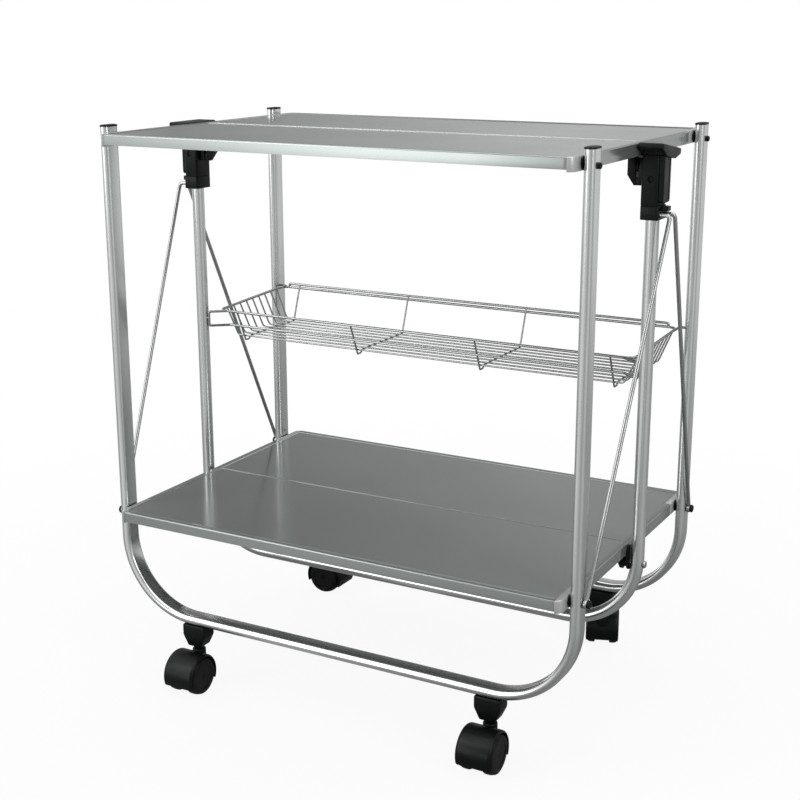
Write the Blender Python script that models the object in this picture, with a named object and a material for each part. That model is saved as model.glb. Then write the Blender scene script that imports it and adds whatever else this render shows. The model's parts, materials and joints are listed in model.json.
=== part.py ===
"""A folding serving trolley.

Two shelves, each of two hinged halves, hang between a front, a middle and a rear tube frame. Lifting
the two handles raises the middle frame and draws the front and rear frames together. A wire basket
fills the rear bay and four twin casters carry the outer frames.

+X is the right-hand side seen from the front, -Y the front and +Z up. The origin is on the floor,
under the middle of the trolley. All lengths are in metres.
"""

from math import asin, atan2, cos, degrees, pi, radians, sin, sqrt

import bmesh
import bpy
from mathutils import Vector

# Fits
GAP = 0.0003
FUSE = 0.0004
OVERRUN = 0.002

# Outer frames: flat-oval tube bent to a U
POST_X = 0.315
FRAME_Y = 0.180
OVAL_WIDE = 0.0125
OVAL_DEEP = 0.025
TUBE_WALL = 0.0012
OUTER_BEND = 0.100
POST_RISE = 0.0065

# Middle frame: round tube bent to a U
MIDDLE_OUTSET = 0.0043
MIDDLE_TUBE_RADIUS = 0.008
MIDDLE_BEND = 0.092
BEND_START_RISE = 0.015

# Post end caps
CAP_THICK = 0.0022
CAP_LIP = 0.0003
CAP_DOME = 0.0008
PLUG_DEEP = 0.011

# Shelves: folded sheet trays with moulded corner blocks
SHELF_TOP_Z = 0.713
SHELF_LOW_Z = 0.234
SHELF_SHEET = 0.0008
RIM_DEEP = 0.013
SIDE_DEEP = 0.0155
SHELF_OVERHANG = 0.031
SIDE_PLAY = 0.00195
CORNER_WIDE = 0.0075
CORNER_LONG = 0.056
CORNER_ROUND = 0.011

# Pivots of the shelf halves, below the shelf's surface
OUTER_PIVOT_DROP = 0.0105
MIDDLE_PIVOT_DROP = 0.026
FOLD = radians(76)

# Hinge ears under the middle of each shelf half
EAR_THICK = 0.0015
EAR_ROUND = 0.009
EAR_LONG = 0.032
EAR_INSET = 0.0048

# Pivot pins
PIN_RADIUS = 0.0025
PIN_HEAD_RADIUS = 0.0035
PIN_HEAD_LONG = 0.0035
PIN_ROOT = 0.0062
SPACER_LONG = 0.024
SPACER_TALL = 0.0145
STRUT_HEAD_RADIUS = 0.005
STRUT_HEAD_LONG = 0.0026
MIDDLE_PIN_RADIUS = 0.003
MIDDLE_HEAD_RADIUS = 0.0045
MIDDLE_HEAD_LONG = 0.0025

# Handles on the middle posts
COLUMN_DEEP = 0.015
COLUMN_WALL = 0.0025
COLUMN_LOW = 0.071
COLUMN_ROUND = 0.003
WING_THICK = 0.0090
WING_HALF = 0.007
WING_LOW = 0.050
WING_HIGH = 0.019
BRIDGE_TALL = 0.009
WING_CHAMFER = 0.008
BOSS_RADIUS = 0.006
COVER_THICK = 0.0055
COVER_HALF = 0.012
COVER_LOW = 0.068
GRIP_HALF = 0.033
GRIP_RISE = 0.001
GRIP_THICK = 0.013
GRIP_TIP_THICK = 0.006
GRIP_OUT = 0.004
GRIP_ROUND = 0.0015

# Pivot plates between the lower shelf and the middle posts
PLATE_HALF = 0.008
PLATE_RISE = 0.022
PLATE_FALL = 0.009

# Collars that slide on the middle posts, and the struts that they carry
COLLAR_DROP = 0.081
COLLAR_HALF = 0.015
COLLAR_RISE = 0.010
COLLAR_FALL = 0.006
COLLAR_WALL = 0.0025
TAB_LONG = 0.0085
TAB_HALF = 0.006
TAB_TALL = 0.006
STRUT_WIRE = 0.0025
STRUT_STAND = 0.0124
STRUT_PLUG = 0.0026
STRUT_BEND = 0.005
STRUT_TOP_Y = 0.0078
STRUT_EYE = 0.0055

# Basket in the rear bay
BASKET_WIRE = 0.00175
BASKET_FINE_WIRE = 0.0012
BASKET_SIDE_PLAY = 0.009
BASKET_FRONT_Y = 0.012
BASKET_REAR_PLAY = 0.010
BASKET_FRONT_Z = 0.458
BASKET_REAR_Z = 0.465
BASKET_RAIL_RISE = 0.005
BASKET_FLOOR_Z = 0.422
BASKET_SPLAY = 0.018
BASKET_ROUND = 0.012
BASKET_PIVOT_Z = 0.4485
BASKET_HOOK = 0.030
BASKET_HOOK_IN = 0.0018
LONG_WIRES = 9
CROSS_WIRES = 4
CROSS_REACH = 0.270

# Casters
CASTER_INSET = 0.1045
WHEEL_RADIUS = 0.025
WHEEL_SIDES = 20
WHEEL_WIDE = 0.0128
WHEEL_ROUND = 0.004
WEB_HALF = 0.009
WHEEL_SIDE_PLAY = 0.0008
AXLE_RADIUS = 0.003
CASTER_TRAIL = 0.021
REAR_LEFT_TURN = radians(90)
REAR_RIGHT_TURN = radians(20)
HOOD_PLAY = 0.001
HOOD_WALL = 0.0028
HOOD_START = radians(-35)
HOOD_END = radians(170)
HUB_RADIUS = 0.0165
SHOULDER_Z = 0.0525
SHOULDER_CHAMFER = 0.0015
NECK_RADIUS = 0.00575
STEM_RADIUS = 0.004
STEM_LONG = 0.018
SOCKET_LOW_Z = 0.0568
SOCKET_TALL = 0.0297
SOCKET_TOP_WIDE = 0.017
SOCKET_LOW_WIDE = 0.010
SOCKET_TAPER = 0.015
SOCKET_HALF_DEEP = 0.0115

# Places worked out from the sizes above
AXLE_Z = WHEEL_RADIUS * cos(pi / WHEEL_SIDES)
SOCKET_TOP_Z = SOCKET_LOW_Z + SOCKET_TALL
OUTER_BAR_Z = SOCKET_TOP_Z + GAP + OVAL_WIDE / 2
OUTER_TOP_Z = SHELF_TOP_Z + POST_RISE
POST_INNER_X = POST_X - OVAL_WIDE / 2
POST_OUTER_X = POST_X + OVAL_WIDE / 2
SHELF_X = POST_INNER_X - SIDE_PLAY
SHELF_Y = FRAME_Y + SHELF_OVERHANG
SEAM_X = SHELF_X - CORNER_WIDE
CASTER_X = POST_X - CASTER_INSET
MIDDLE_X = POST_X + MIDDLE_OUTSET
MIDDLE_INNER_X = MIDDLE_X - MIDDLE_TUBE_RADIUS
MIDDLE_OUTER_X = MIDDLE_X + MIDDLE_TUBE_RADIUS
PIVOT_RISE = MIDDLE_PIVOT_DROP - OUTER_PIVOT_DROP
TOP_PIN_Z = SHELF_TOP_Z - OUTER_PIVOT_DROP
LOW_PIN_Z = SHELF_LOW_Z - OUTER_PIVOT_DROP
TOP_MIDDLE_Z = SHELF_TOP_Z - MIDDLE_PIVOT_DROP
LOW_MIDDLE_Z = SHELF_LOW_Z - MIDDLE_PIVOT_DROP
MIDDLE_BAR_Z = LOW_MIDDLE_Z - PLATE_FALL + BEND_START_RISE - MIDDLE_BEND
EAR_FRONT_X = SHELF_X - EAR_INSET - 2 * EAR_THICK - GAP
EAR_REAR_X = EAR_FRONT_X + EAR_THICK + GAP
EARS_OUT_X = EAR_REAR_X + EAR_THICK
COLUMN_IN_X = MIDDLE_INNER_X - GAP - COLUMN_WALL
COVER_IN_X = MIDDLE_OUTER_X + GAP + COLUMN_WALL / 2
COVER_OUT_X = COVER_IN_X + GAP + COVER_THICK
GRIP_TOP_Z = SHELF_TOP_Z + GRIP_RISE
GRIP_LOW_Z = GRIP_TOP_Z - GRIP_THICK
COLUMN_TOP_Z = GRIP_LOW_Z - GAP
COLLAR_OUT_X = MIDDLE_OUTER_X + GAP + COLLAR_WALL
STRUT_FOOT_X = POST_OUTER_X + GAP + STRUT_WIRE
STRUT_HEAD_X = COLLAR_OUT_X + STRUT_STAND
COLLAR_Z = SHELF_TOP_Z - COLLAR_DROP
BASKET_X = POST_INNER_X - BASKET_SIDE_PLAY
BASKET_REAR_Y = FRAME_Y - BASKET_REAR_PLAY
WHEEL_IN = WEB_HALF + WHEEL_SIDE_PLAY
WHEEL_OUT = WHEEL_IN + WHEEL_WIDE

# Smoothness: sides of round pieces and steps of bends
PIN_SIDES = 10
TUBE_SIDES = 12
WIRE_SIDES = 5
BEND_STEPS = 7
WIRE_BEND_STEPS = 2
ROUND_STEPS = 4

SIDES = (("left", -1), ("right", 1))
ENDS = (("front", -1), ("rear", 1))


def clear_scene():
    """Empties the scene that the program starts with."""
    for thing in list(bpy.data.objects):
        bpy.data.objects.remove(thing)


def make_material(name, colour, roughness, metallic):
    """A Principled material of one colour."""
    material = bpy.data.materials.new(name)
    material.use_nodes = True
    shader = material.node_tree.nodes["Principled BSDF"]
    shader.inputs["Base Color"].default_value = (*colour, 1)
    shader.inputs["Roughness"].default_value = roughness
    shader.inputs["Metallic"].default_value = metallic
    return material


def make_pivot(name, place, parent):
    """An empty on a joint's axis. Returns it with its place in the world."""
    empty = bpy.data.objects.new(name, None)
    bpy.context.scene.collection.objects.link(empty)
    world = Vector(place)
    if parent:
        empty.parent = parent[0]
        empty.location = world - parent[1]
    else:
        empty.location = world
    return empty, world


def place_piece(name, bm, material, pivot):
    """Turns world-space geometry into an object that hangs from its pivot."""
    bmesh.ops.translate(bm, verts=bm.verts, vec=-pivot[1])
    bmesh.ops.recalc_face_normals(bm, faces=bm.faces)
    mesh = bpy.data.meshes.new(name)
    bm.to_mesh(mesh)
    bm.free()
    mesh.shade_smooth()
    mesh.set_sharp_from_angle(angle=radians(35))
    if material:
        mesh.materials.append(material)
    piece = bpy.data.objects.new(name, mesh)
    bpy.context.scene.collection.objects.link(piece)
    piece.parent = pivot[0]
    return piece


def combine(piece, helper_bm, operation, pivot):
    """Adds a hidden helper shape to a piece, or cuts it away."""
    helper = place_piece(f"{piece.name}_{operation.lower()}_{len(piece.modifiers)}", helper_bm, None, pivot)
    helper.hide_render = True
    helper.display_type = "WIRE"
    boolean = piece.modifiers.new(helper.name, "BOOLEAN")
    boolean.operation = operation
    boolean.object = helper


def bevel_edges(bm, edges, width, steps):
    """Rounds the given edges."""
    bmesh.ops.bevel(bm, geom=edges, offset=width, segments=steps, profile=0.5, affect="EDGES")


def arc(centre_u, centre_v, radius, start, end, steps):
    """Points along an arc in a plane, ends included."""
    angles = [start + (end - start) * step / steps for step in range(steps + 1)]
    return [(centre_u + radius * cos(angle), centre_v + radius * sin(angle)) for angle in angles]


def stadium(half_u, half_v, steps):
    """A slot-shaped outline whose round ends point along v."""
    ends = arc(0, half_v - half_u, half_u, 0, pi, steps)
    return ends + [(-u, -v) for u, v in ends]


def prism(outline, axis, low, high):
    """A straight solid: an outline in the plane across the axis, drawn out from low to high."""
    bm = bmesh.new()
    order = {"X": (2, 0, 1), "Y": (0, 2, 1), "Z": (0, 1, 2)}[axis]
    corners = []
    for u, v in outline:
        values = (u, v, low)
        corners.append(bm.verts.new([values[index] for index in order]))
    face = bm.faces.new(corners)
    drawn = bmesh.ops.extrude_face_region(bm, geom=[face])
    moved = [item for item in drawn["geom"] if isinstance(item, bmesh.types.BMVert)]
    along = Vector([(high - low) if name == axis else 0 for name in "XYZ"])
    bmesh.ops.translate(bm, verts=moved, vec=along)
    bmesh.ops.recalc_face_normals(bm, faces=bm.faces)
    return bm


def turned(profile, centre, axis, sides, phase=0):
    """A turned solid: (radius, distance along the axis) points spun about the axis."""
    bm = bmesh.new()
    along = Vector(axis).normalized()
    across = Vector((0, 1, 0)) if abs(along.x) > abs(along.z) else Vector((1, 0, 0))
    out = across * cos(phase) + along.cross(across) * sin(phase)
    centre = Vector(centre)
    points = [bm.verts.new(centre + out * radius + along * distance) for radius, distance in profile]
    closed = profile[0][0] > 0
    pairs = list(zip(points, points[1:]))
    if closed:
        pairs.append((points[-1], points[0]))
    edges = [bm.edges.new(pair) for pair in pairs]
    bmesh.ops.spin(
        bm, geom=points + edges, cent=centre, axis=along, angle=2 * pi, steps=sides, use_merge=True
    )
    bmesh.ops.remove_doubles(bm, verts=bm.verts, dist=GAP / 100)
    bmesh.ops.recalc_face_normals(bm, faces=bm.faces)
    return bm


def sweep(bm, path, across, sections, closed=False):
    """Carries section outlines along a flat path. Two sections make a hollow tube."""
    count = len(path)
    across = Vector(across).normalized()
    shells = []
    for section in sections:
        rings = []
        for index, point in enumerate(path):
            before = path[index - 1] if index or closed else point
            after = path[(index + 1) % count] if index < count - 1 or closed else point
            side = (after - before).normalized().cross(across)
            rings.append([bm.verts.new(point + side * u + across * v) for u, v in section])
        pairs = list(zip(rings, rings[1:]))
        if closed:
            pairs.append((rings[-1], rings[0]))
        for ring, following in pairs:
            join_rings(bm, ring, following)
        shells.append(rings)
    if closed:
        return
    if len(shells) == 1:
        bm.faces.new(shells[0][0])
        bm.faces.new(shells[0][-1])
    else:
        join_rings(bm, shells[0][0], shells[1][0])
        join_rings(bm, shells[0][-1], shells[1][-1])


def join_rings(bm, ring, following):
    """Faces between two rings of as many points."""
    size = len(ring)
    for index in range(size):
        after = (index + 1) % size
        bm.faces.new((ring[index], ring[after], following[after], following[index]))


def rounded_path(corners, radius, steps, closed=False):
    """A path through the corners, with each turn rounded to the radius."""
    points = []
    count = len(corners)
    for index, corner in enumerate(corners):
        if not closed and index in (0, count - 1):
            points.append(corner)
            continue
        into = (corners[index - 1] - corner).normalized()
        onward = (corners[(index + 1) % count] - corner).normalized()
        half = into.angle(onward) / 2
        reach = radius / sin(half)
        centre = corner + (into + onward).normalized() * reach
        first = corner + into * radius * cos(half) / sin(half) - centre
        last = corner + onward * radius * cos(half) / sin(half) - centre
        turn = first.angle(last)
        for step in range(steps + 1):
            share = step / steps
            weight_first = sin((1 - share) * turn) / sin(turn)
            weight_last = sin(share * turn) / sin(turn)
            points.append(centre + first * weight_first + last * weight_last)
    return points


def add_bands(path, heights):
    """Adds a ring above and below each hole in both posts, so that every hole lies in short faces."""
    first, last = path[0], path[-1]
    levels = sorted((z + step for z in heights for step in (-2 * PIN_RADIUS, 2 * PIN_RADIUS)), reverse=True)
    left = [Vector((first.x, first.y, z)) for z in levels]
    right = [Vector((last.x, last.y, z)) for z in reversed(levels)]
    return [first, *left, *path[1:-1], *right, last]


def circle(radius, sides):
    """A round outline with a flat side at the bottom."""
    angles = [2 * pi * (side + 0.5) / sides for side in range(sides)]
    return [(radius * cos(angle), radius * sin(angle)) for angle in angles]


def u_path(half_wide, y, top_z, bar_z, bend):
    """The centre line of a U-shaped frame that stands across the trolley."""
    corners = [(-half_wide, top_z), (-half_wide, bar_z), (half_wide, bar_z), (half_wide, top_z)]
    return rounded_path([Vector((x, y, z)) for x, z in corners], bend, BEND_STEPS)


def hole(low_x, high_x, y, z, radius):
    """A cutter for a round hole along X."""
    outline = [(u + y, v + z) for u, v in circle(radius, PIN_SIDES)]
    return prism(outline, "X", low_x, high_x)


def side_span(side, near, far):
    """Two X places on one side of the trolley, in rising order."""
    return sorted((side * near, side * far))


# Frames


def make_outer_frame(end, sign, metal, pivot):
    """A front or rear frame: flat-oval tube with holes for the shelf pins, and the basket's at the rear."""
    bm = bmesh.new()
    pins = [TOP_PIN_Z, LOW_PIN_Z]
    hooks = [BASKET_PIVOT_Z + PIVOT_RISE] if end == "rear" else []
    path = add_bands(u_path(POST_X, sign * FRAME_Y, OUTER_TOP_Z, OUTER_BAR_Z, OUTER_BEND), pins + hooks)
    outer = stadium(OVAL_WIDE / 2, OVAL_DEEP / 2, ROUND_STEPS)
    inner = stadium(OVAL_WIDE / 2 - TUBE_WALL, OVAL_DEEP / 2 - TUBE_WALL, ROUND_STEPS)
    sweep(bm, path, (0, 1, 0), [outer, inner])
    frame = place_piece(f"{end}_frame", bm, metal, pivot)
    for _, side in SIDES:
        low_x, high_x = side_span(side, POST_INNER_X - OVERRUN, POST_OUTER_X + OVERRUN)
        for z in pins:
            cutter = hole(low_x, high_x, sign * FRAME_Y, z, PIN_RADIUS + GAP)
            combine(frame, cutter, "DIFFERENCE", pivot)
        for z in hooks:
            low_x, high_x = side_span(side, POST_INNER_X - OVERRUN, POST_X)
            cutter = hole(low_x, high_x, FRAME_Y, z, BASKET_WIRE + GAP)
            combine(frame, cutter, "DIFFERENCE", pivot)


def make_middle_frame(metal, pivot):
    """The middle frame: round tube with holes for the lower shelf's pins and the basket's hooks."""
    bm = bmesh.new()
    path = u_path(MIDDLE_X, 0, COLUMN_TOP_Z, MIDDLE_BAR_Z, MIDDLE_BEND)
    outer = circle(MIDDLE_TUBE_RADIUS, TUBE_SIDES)
    inner = circle(MIDDLE_TUBE_RADIUS - TUBE_WALL, TUBE_SIDES)
    sweep(bm, path, (0, 1, 0), [outer, inner])
    frame = place_piece("middle_frame", bm, metal, pivot)
    for _, side in SIDES:
        low_x, high_x = side_span(side, MIDDLE_INNER_X - OVERRUN, MIDDLE_OUTER_X + OVERRUN)
        cutter = hole(low_x, high_x, 0, LOW_MIDDLE_Z, MIDDLE_PIN_RADIUS + GAP)
        combine(frame, cutter, "DIFFERENCE", pivot)
        low_x, high_x = side_span(side, MIDDLE_INNER_X - OVERRUN, MIDDLE_X)
        cutter = hole(low_x, high_x, 0, BASKET_PIVOT_Z, BASKET_WIRE + GAP)
        combine(frame, cutter, "DIFFERENCE", pivot)


def make_post_cap(end, sign, side_name, side, plastic, pivot):
    """The oval end cap of an outer post, with its plug inside the tube."""
    base = OUTER_TOP_Z + GAP
    top = base + CAP_THICK
    plug = TUBE_WALL + GAP
    levels = (
        (-plug, base - PLUG_DEEP),
        (-plug, base),
        (CAP_LIP, base),
        (CAP_LIP, top - CAP_DOME),
        (-CAP_DOME, top),
    )
    bm = bmesh.new()
    rings = []
    for grow, z in levels:
        outline = stadium(OVAL_WIDE / 2 + grow, OVAL_DEEP / 2 + grow, ROUND_STEPS)
        rings.append([bm.verts.new((side * POST_X + u, sign * FRAME_Y + v, z)) for u, v in outline])
    for ring, following in zip(rings, rings[1:]):
        join_rings(bm, ring, following)
    bm.faces.new(rings[0])
    bm.faces.new(rings[-1])
    place_piece(f"{end}_{side_name}_post_cap", bm, plastic, pivot)


# Shelves


def corner_arc(start, end):
    """The rounded front corner of a shelf, as distances from its middle and its hinge line."""
    centre_x = SHELF_X - CORNER_ROUND
    centre_y = SHELF_Y - CORNER_ROUND
    return arc(centre_x, centre_y, CORNER_ROUND, start, end, ROUND_STEPS)


def seam_angle(x):
    """The angle on the corner's arc at which it meets a seam along Y."""
    share = (x - (SHELF_X - CORNER_ROUND)) / CORNER_ROUND
    return asin(sqrt(1 - share * share))


def tray_outline(sign):
    """The plan of a shelf half, notched where its corner blocks sit."""
    seam = SEAM_X - GAP
    notch_y = SHELF_Y - CORNER_LONG - GAP
    rim = arc(SHELF_X - CORNER_ROUND, SHELF_Y - CORNER_ROUND, CORNER_ROUND, seam_angle(seam), pi / 2, 1)
    right = [(SHELF_X, GAP / 2), (SHELF_X, notch_y), (seam, notch_y), *rim]
    left = [(-x, y) for x, y in reversed(right)]
    return [(x, sign * y) for x, y in right + left]


def make_tray(shelf, surface, end, sign, metal, pivot):
    """Half a shelf: a thin folded tray with its hinge ears welded in."""
    bm = prism(tray_outline(sign), "Z", surface - RIM_DEEP, surface)
    under = min(bm.faces, key=lambda face: face.calc_center_median().z)
    rim = bmesh.ops.inset_region(bm, faces=[under], thickness=SHELF_SHEET, use_even_offset=True)["faces"]
    hollow = bmesh.ops.extrude_discrete_faces(bm, faces=[under])["faces"][0]
    bmesh.ops.translate(bm, verts=hollow.verts, vec=(0, 0, RIM_DEEP - SHELF_SHEET))
    skirts = [face for face in rim if abs(face.calc_center_median().x) > SEAM_X]
    skirts = [face for face in skirts if face.normal.z < 0 and long_in_y(face)]
    for skirt in bmesh.ops.extrude_discrete_faces(bm, faces=skirts)["faces"]:
        bmesh.ops.translate(bm, verts=skirt.verts, vec=(0, 0, RIM_DEEP - SIDE_DEEP))
    tray = place_piece(f"{end}_{shelf}_tray", bm, metal, pivot)
    ear_x = EAR_FRONT_X if sign < 0 else EAR_REAR_X
    for _, side in SIDES:
        combine(tray, ear(surface, sign, side, ear_x), "UNION", pivot)
        low_x, high_x = side_span(side, ear_x - OVERRUN / 2, ear_x + EAR_THICK + OVERRUN / 2)
        cutter = hole(low_x, high_x, 0, surface - MIDDLE_PIVOT_DROP, MIDDLE_PIN_RADIUS + GAP)
        combine(tray, cutter, "DIFFERENCE", pivot)


def long_in_y(face):
    """Whether a face runs along Y rather than X."""
    spread_x = max(v.co.x for v in face.verts) - min(v.co.x for v in face.verts)
    spread_y = max(v.co.y for v in face.verts) - min(v.co.y for v in face.verts)
    return spread_y > 2 * spread_x


def ear(surface, sign, side, ear_x):
    """A hinge ear: a plate from the underside of the tray to the round end about the middle pivot."""
    pivot_z = surface - MIDDLE_PIVOT_DROP
    top_z = surface - SHELF_SHEET + FUSE
    inner_y = GAP / 2 + SHELF_SHEET / 2
    far = atan2(top_z - pivot_z, -EAR_LONG)
    reach = sqrt(EAR_LONG * EAR_LONG + (top_z - pivot_z) ** 2)
    start = asin(inner_y / EAR_ROUND) + pi / 2
    end = far + pi / 2 - asin(EAR_ROUND / reach) - 2 * pi
    outline = arc(0, pivot_z, EAR_ROUND, start, end, 2 * ROUND_STEPS)
    outline += [(-EAR_LONG, top_z), (-inner_y, top_z)]
    low_x, high_x = side_span(side, ear_x, ear_x + EAR_THICK)
    return prism([(-sign * y, z) for y, z in outline], "X", low_x, high_x)


def make_corner(shelf, surface, end, sign, side_name, side, plastic, pivot):
    """A moulded corner block, which closes the tray's corner and takes the outer pin."""
    rounded = corner_arc(0, seam_angle(SEAM_X))
    outline = [(SEAM_X, SHELF_Y - CORNER_LONG), (SHELF_X, SHELF_Y - CORNER_LONG), *rounded]
    plan = [(side * x, sign * y) for x, y in outline]
    bm = prism(plan, "Z", surface - SIDE_DEEP, surface)
    corner = place_piece(f"{end}_{side_name}_{shelf}_corner", bm, plastic, pivot)
    low_x, high_x = side_span(side, SHELF_X - PIN_ROOT, SHELF_X + OVERRUN)
    cutter = hole(low_x, high_x, sign * FRAME_Y, surface - OUTER_PIVOT_DROP, PIN_RADIUS + GAP)
    combine(corner, cutter, "DIFFERENCE", pivot)


# Pins


def make_outer_pin(shelf, z, end, sign, side_name, side, plastic, pivot):
    """A pivot pin of an outer post, with its spacer. A lower pin also holds the foot of a strut."""
    centre = (0, sign * FRAME_Y, z)
    root = SHELF_X - PIN_ROOT + GAP
    face = POST_OUTER_X + GAP
    profile = [(0, root), (PIN_RADIUS, root)]
    if shelf == "low":
        head = STRUT_FOOT_X + STRUT_WIRE + 2 * GAP
        profile += [(PIN_RADIUS, head), (STRUT_HEAD_RADIUS, head)]
        profile += dome(STRUT_HEAD_RADIUS, head, STRUT_HEAD_LONG)
    else:
        profile += [(PIN_RADIUS, face), (PIN_HEAD_RADIUS, face)]
        profile += dome(PIN_HEAD_RADIUS, face, PIN_HEAD_LONG)
    bm = turned([(radius, along) for radius, along in profile], centre, (side, 0, 0), PIN_SIDES)
    pin = place_piece(f"{end}_{side_name}_{shelf}_pin", bm, plastic, pivot)
    slot = stadium(SPACER_TALL / 2, SPACER_LONG / 2, ROUND_STEPS)
    outline = [(sign * FRAME_Y + v, spacer_z(z) + u) for u, v in slot]
    low_x, high_x = side_span(side, SHELF_X + GAP, POST_INNER_X - GAP)
    combine(pin, prism(outline, "X", low_x, high_x), "UNION", pivot)


def spacer_z(pin_z):
    """The height of a spacer's middle, level with the middle of the shelf's side."""
    return pin_z + OUTER_PIVOT_DROP - SIDE_DEEP / 2


def dome(radius, start, length):
    """The rounded end of a pin head, as turned points."""
    return [(radius, start + length / 2), (radius / 2, start + length), (0, start + length)]


def make_middle_pin(shelf, z, side_name, side, metal, pivot):
    """A pin through both hinge ears, into the handle above or through the middle post below."""
    if shelf == "top":
        root = EAR_FRONT_X - GAP - WING_THICK + MIDDLE_HEAD_LONG
        end = COLUMN_IN_X + COLUMN_WALL / 2
        profile = [(0, root), (MIDDLE_PIN_RADIUS, root), (MIDDLE_PIN_RADIUS, end), (0, end)]
    else:
        root = EAR_FRONT_X - GAP
        head = MIDDLE_OUTER_X + GAP
        profile = [(0, root - MIDDLE_HEAD_LONG), (MIDDLE_HEAD_RADIUS, root - MIDDLE_HEAD_LONG)]
        profile += [(MIDDLE_HEAD_RADIUS, root), (MIDDLE_PIN_RADIUS, root), (MIDDLE_PIN_RADIUS, head)]
        profile += [(MIDDLE_HEAD_RADIUS, head), *dome(MIDDLE_HEAD_RADIUS, head, MIDDLE_HEAD_LONG)]
    bm = turned(profile, (0, 0, z), (side, 0, 0), PIN_SIDES)
    place_piece(f"middle_{side_name}_{shelf}_pin", bm, metal, pivot)


# Handles


def make_housing(side_name, side, plastic, pivot):
    """The handle's housing: a sleeve on the post, a boss at the shelf's pivot and a wing inside the ears."""
    low_z = SHELF_TOP_Z - COLUMN_LOW
    wide = [COLUMN_IN_X, COVER_IN_X]
    outline = [(wide[0], -COLUMN_DEEP), (wide[1], -COLUMN_DEEP), (wide[1], COLUMN_DEEP), (wide[0], COLUMN_DEEP)]
    bm = prism([(side * x, y) for x, y in outline], "Z", low_z, COLUMN_TOP_Z)
    upright = [edge for edge in bm.edges if abs(edge.verts[0].co.z - edge.verts[1].co.z) > GAP]
    bevel_edges(bm, upright, COLUMN_ROUND, 2)
    housing = place_piece(f"{side_name}_handle_housing", bm, plastic, pivot)
    boss = turned(
        [(0, EARS_OUT_X + GAP), (BOSS_RADIUS, EARS_OUT_X + GAP), (BOSS_RADIUS, COLUMN_IN_X + FUSE),
         (0, COLUMN_IN_X + FUSE)],
        (0, 0, TOP_MIDDLE_Z), (side, 0, 0), PIN_SIDES,
    )
    combine(housing, boss, "UNION", pivot)
    combine(housing, wing(side), "UNION", pivot)
    sleeve = prism(
        [(side * MIDDLE_X + u, v) for u, v in circle(MIDDLE_TUBE_RADIUS + GAP, TUBE_SIDES)],
        "Z", low_z - OVERRUN, COLUMN_TOP_Z + OVERRUN,
    )
    combine(housing, sleeve, "DIFFERENCE", pivot)
    pin_root = EAR_FRONT_X - GAP - WING_THICK + MIDDLE_HEAD_LONG - GAP
    low_x, high_x = side_span(side, pin_root, COLUMN_IN_X + COLUMN_WALL / 2 + GAP)
    combine(housing, hole(low_x, high_x, 0, TOP_MIDDLE_Z, MIDDLE_PIN_RADIUS + GAP), "DIFFERENCE", pivot)


def wing(side):
    """The plate inside the hinge ears, joined to the sleeve by a bridge under them."""
    out = EAR_FRONT_X - GAP
    inner = out - WING_THICK
    low = SHELF_TOP_Z - WING_LOW
    high = SHELF_TOP_Z - WING_HIGH
    join = COLUMN_IN_X + FUSE
    outline = [(inner, high), (inner, low + WING_CHAMFER), (inner + WING_CHAMFER, low), (join, low)]
    outline += [(join, low + BRIDGE_TALL), (out, low + BRIDGE_TALL), (out, high)]
    return prism([(side * x, z) for x, z in outline], "Y", -WING_HALF, WING_HALF)


def make_grip(side_name, side, plastic, pivot):
    """The lifting grip: a flared head on the sleeve, with a cover down the outer side."""
    tip_low = GRIP_TOP_Z - GRIP_TIP_THICK
    head = [(-GRIP_HALF, GRIP_TOP_Z), (-GRIP_HALF, tip_low), (-COLUMN_DEEP, GRIP_LOW_Z)]
    head += [(-y, z) for y, z in reversed(head)]
    low_x, high_x = side_span(side, COLUMN_IN_X, COVER_OUT_X + GRIP_OUT)
    bm = prism(head, "X", low_x, high_x)
    bevel_edges(bm, list(bm.edges), GRIP_ROUND, 1)
    grip = place_piece(f"{side_name}_grip", bm, plastic, pivot)
    low_z = SHELF_TOP_Z - COVER_LOW
    outline = arc(0, low_z + COVER_HALF, COVER_HALF, pi, 2 * pi, 2 * ROUND_STEPS)
    outline += [(COVER_HALF, GRIP_LOW_Z + GRIP_ROUND + FUSE), (-COVER_HALF, GRIP_LOW_Z + GRIP_ROUND + FUSE)]
    low_x, high_x = side_span(side, COVER_IN_X + GAP, COVER_OUT_X)
    combine(grip, prism(outline, "X", low_x, high_x), "UNION", pivot)


def make_pivot_plate(side_name, side, plastic, pivot):
    """The plate and boss that fill the room between the lower shelf's ears and the middle post."""
    low_z = LOW_MIDDLE_Z - PLATE_FALL
    below_bend = max(MIDDLE_BAR_Z + MIDDLE_BEND - low_z, 0)
    bend_in = MIDDLE_BEND - sqrt(MIDDLE_BEND * MIDDLE_BEND - below_bend * below_bend)
    outline = arc(0, low_z + PLATE_HALF, PLATE_HALF, pi, 2 * pi, ROUND_STEPS)
    outline += arc(0, LOW_MIDDLE_Z + PLATE_RISE - PLATE_HALF, PLATE_HALF, 0, pi, ROUND_STEPS)
    low_x, high_x = side_span(side, SHELF_X + GAP, MIDDLE_INNER_X - bend_in - GAP)
    plate = place_piece(f"{side_name}_pivot_plate", prism(outline, "X", low_x, high_x), plastic, pivot)
    boss = [(0, EARS_OUT_X + GAP), (BOSS_RADIUS, EARS_OUT_X + GAP)]
    boss += [(BOSS_RADIUS, SHELF_X + GAP + FUSE), (0, SHELF_X + GAP + FUSE)]
    combine(plate, turned(boss, (0, 0, LOW_MIDDLE_Z), (side, 0, 0), PIN_SIDES), "UNION", pivot)
    low_x, high_x = side_span(side, EARS_OUT_X - OVERRUN, MIDDLE_INNER_X + OVERRUN)
    combine(plate, hole(low_x, high_x, 0, LOW_MIDDLE_Z, MIDDLE_PIN_RADIUS + GAP), "DIFFERENCE", pivot)


# Collars and struts


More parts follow.
